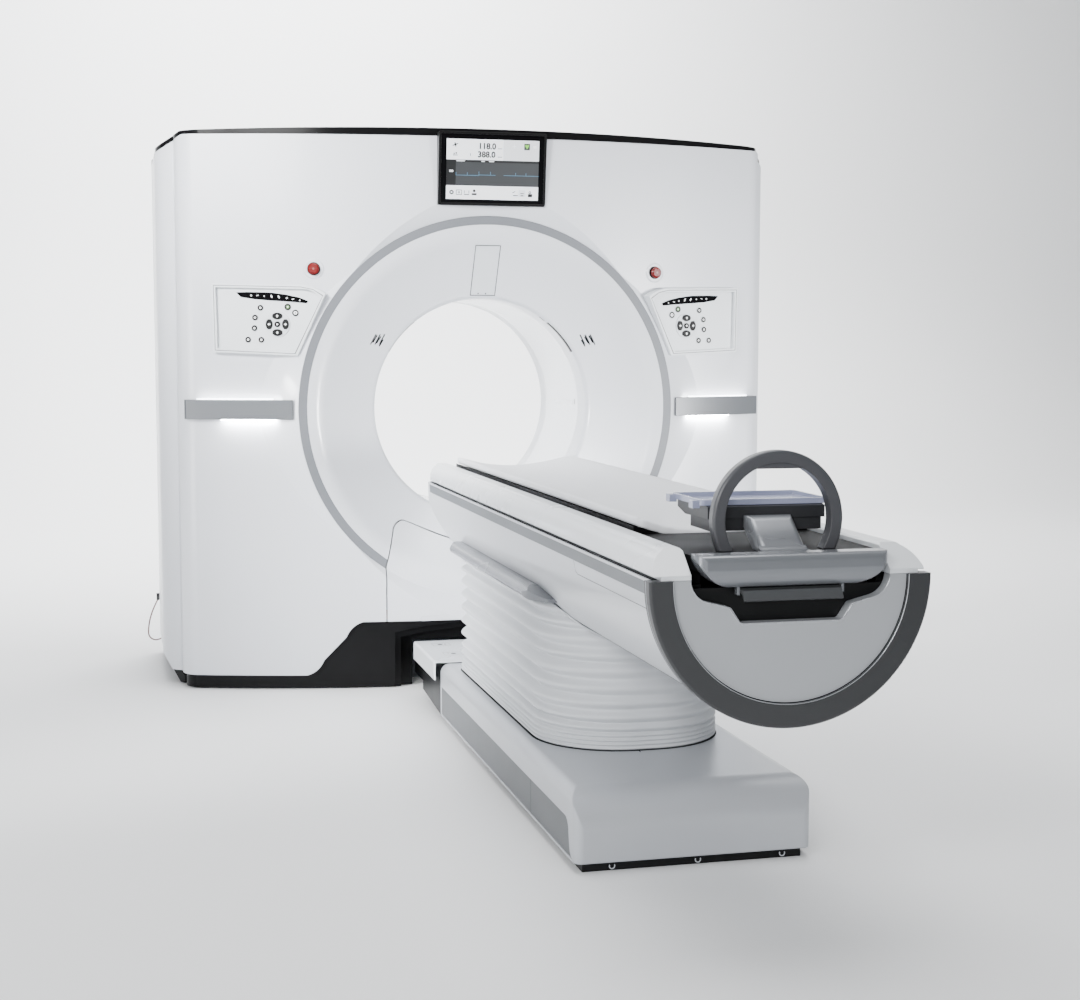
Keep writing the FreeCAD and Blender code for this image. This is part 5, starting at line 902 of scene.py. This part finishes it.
# Filled nylon and textured plastics: dark greys to black, dull, with rounded edges that catch the light.
lever_nylon = finish("grey_filled_nylon", "434547", 0.36, 1.4, 0.008, edge=1.5, drift=0.02)
dress(lever_nylon, "release_lever")
hoop_plastic = finish("dark_textured_plastic", "434448", 0.36, 1.4, 0.012, edge=4.0, drift=0.03)
dress(hoop_plastic, "hoop")
support_black = finish("black_textured_moulding", "26272A", 0.4, 1.2, 0.012, edge=2.0, drift=0.03, shine=0.3)
dress(support_black, "tray_support")
# Tinted moulding: blue-grey, glossy.
tray_tint = finish("blue_grey_tray", "8E93AC", 0.25, 1.6, 0.004, edge=1.5, drift=0.02, coat=0.3)
dress(tray_tint, "tray")

# ---- Floor and light ----
# A plain pale studio floor that is swept up into the wall behind. A soft box overhead, two at the left and an
# even pale sky light the whole, a lamp at the back lights the wall, and each spot lifts one side of the scanner.
def swept_floor():
    """Profile (y, z): flat to y 4.6, then a quarter circle of sweep radius up to a wall; carried along x."""
    turn, sweep, reach = np.linspace(0.0, math.pi / 2, 17), 2.4, 14.0
    y = np.concatenate([[-reach], 4.6 + sweep * np.sin(turn), [4.6 + sweep]])
    z = np.concatenate([[0.0], sweep - sweep * np.cos(turn), [9.0]])
    x = np.array([-reach, reach])
    points = np.stack([np.tile(x, len(y)), np.repeat(y, 2), np.repeat(z, 2)], axis=1)
    return mesh_object("studio_floor", points, grid_faces(len(y), 2))


floor = swept_floor()
# Matt studio paint on a roll-down sheet: near white, even, with the faint cloudiness of a rolled coat.
studio_paint = finish("matt_studio_paint", "F4F5F6", 0.85, 2.0, 0.01, drift=0.004)
floor.data.materials.append(studio_paint)
# Name, kind, place and aim in metres, size in metres, power in watts, and a spot's cone in degrees.
for name, kind, place, aim, size, power, cone in (
        ("top_light", "AREA", (0.0, -1.5, 6.2), (0.0, -1.7, 0.0), 4.5, 370.0, None),
        ("key_light", "AREA", (-3.1, -6.2, 3.0), (-0.8, -0.45, 1.9), 1.6, 120.0, None),
        ("left_light", "AREA", (-5.2, -3.4, 1.0), (0.0, -1.9, 0.5), 2.0, 95.0, None),
        ("cover_spot", "SPOT", (-3.4, -4.0, 3.4), (-0.9, -0.45, 1.95), 0.8, 4600.0, 27.0),
        ("bore_spot", "SPOT", (-1.6, -4.6, 2.2), (-0.12, -0.35, 0.6), 0.5, 1200.0, 17.0),
        ("bridge_spot", "SPOT", (-4.5, -3.4, 1.3), (-0.2, -0.8, 0.35), 0.4, 2300.0, 24.0),
        ("near_spot", "SPOT", (-1.9, -7.0, 1.7), (0.2, -2.6, 0.5), 0.6, 480.0, 30.0),
        ("right_spot", "SPOT", (4.2, -5.2, 0.8), (1.0, -0.5, 0.95), 0.5, 2900.0, 34.0),
        ("wall_light", "AREA", (0.0, 3.4, 5.6), (0.0, 7.0, 1.6), 5.0, 1200.0, None)):
    lamp = bpy.data.lights.new(name, kind)
    lamp.energy = power
    if cone:
        lamp.spot_size, lamp.spot_blend, lamp.shadow_soft_size = math.radians(cone), 1.0, size
    else:
        lamp.shape, lamp.size = "DISK", size
    holder = put(name, lamp)
    holder.matrix_world = Matrix.LocRotScale(
        Vector(place), (Vector(aim) - Vector(place)).to_track_quat("-Z", "Y").to_matrix(), None)
world = bpy.data.worlds.new("studio_air")
world.use_nodes = True
world.node_tree.nodes["Background"].inputs["Color"].default_value = linear("EEF1F4")
world.node_tree.nodes["Background"].inputs["Strength"].default_value = 0.36
bpy.context.scene.world = world
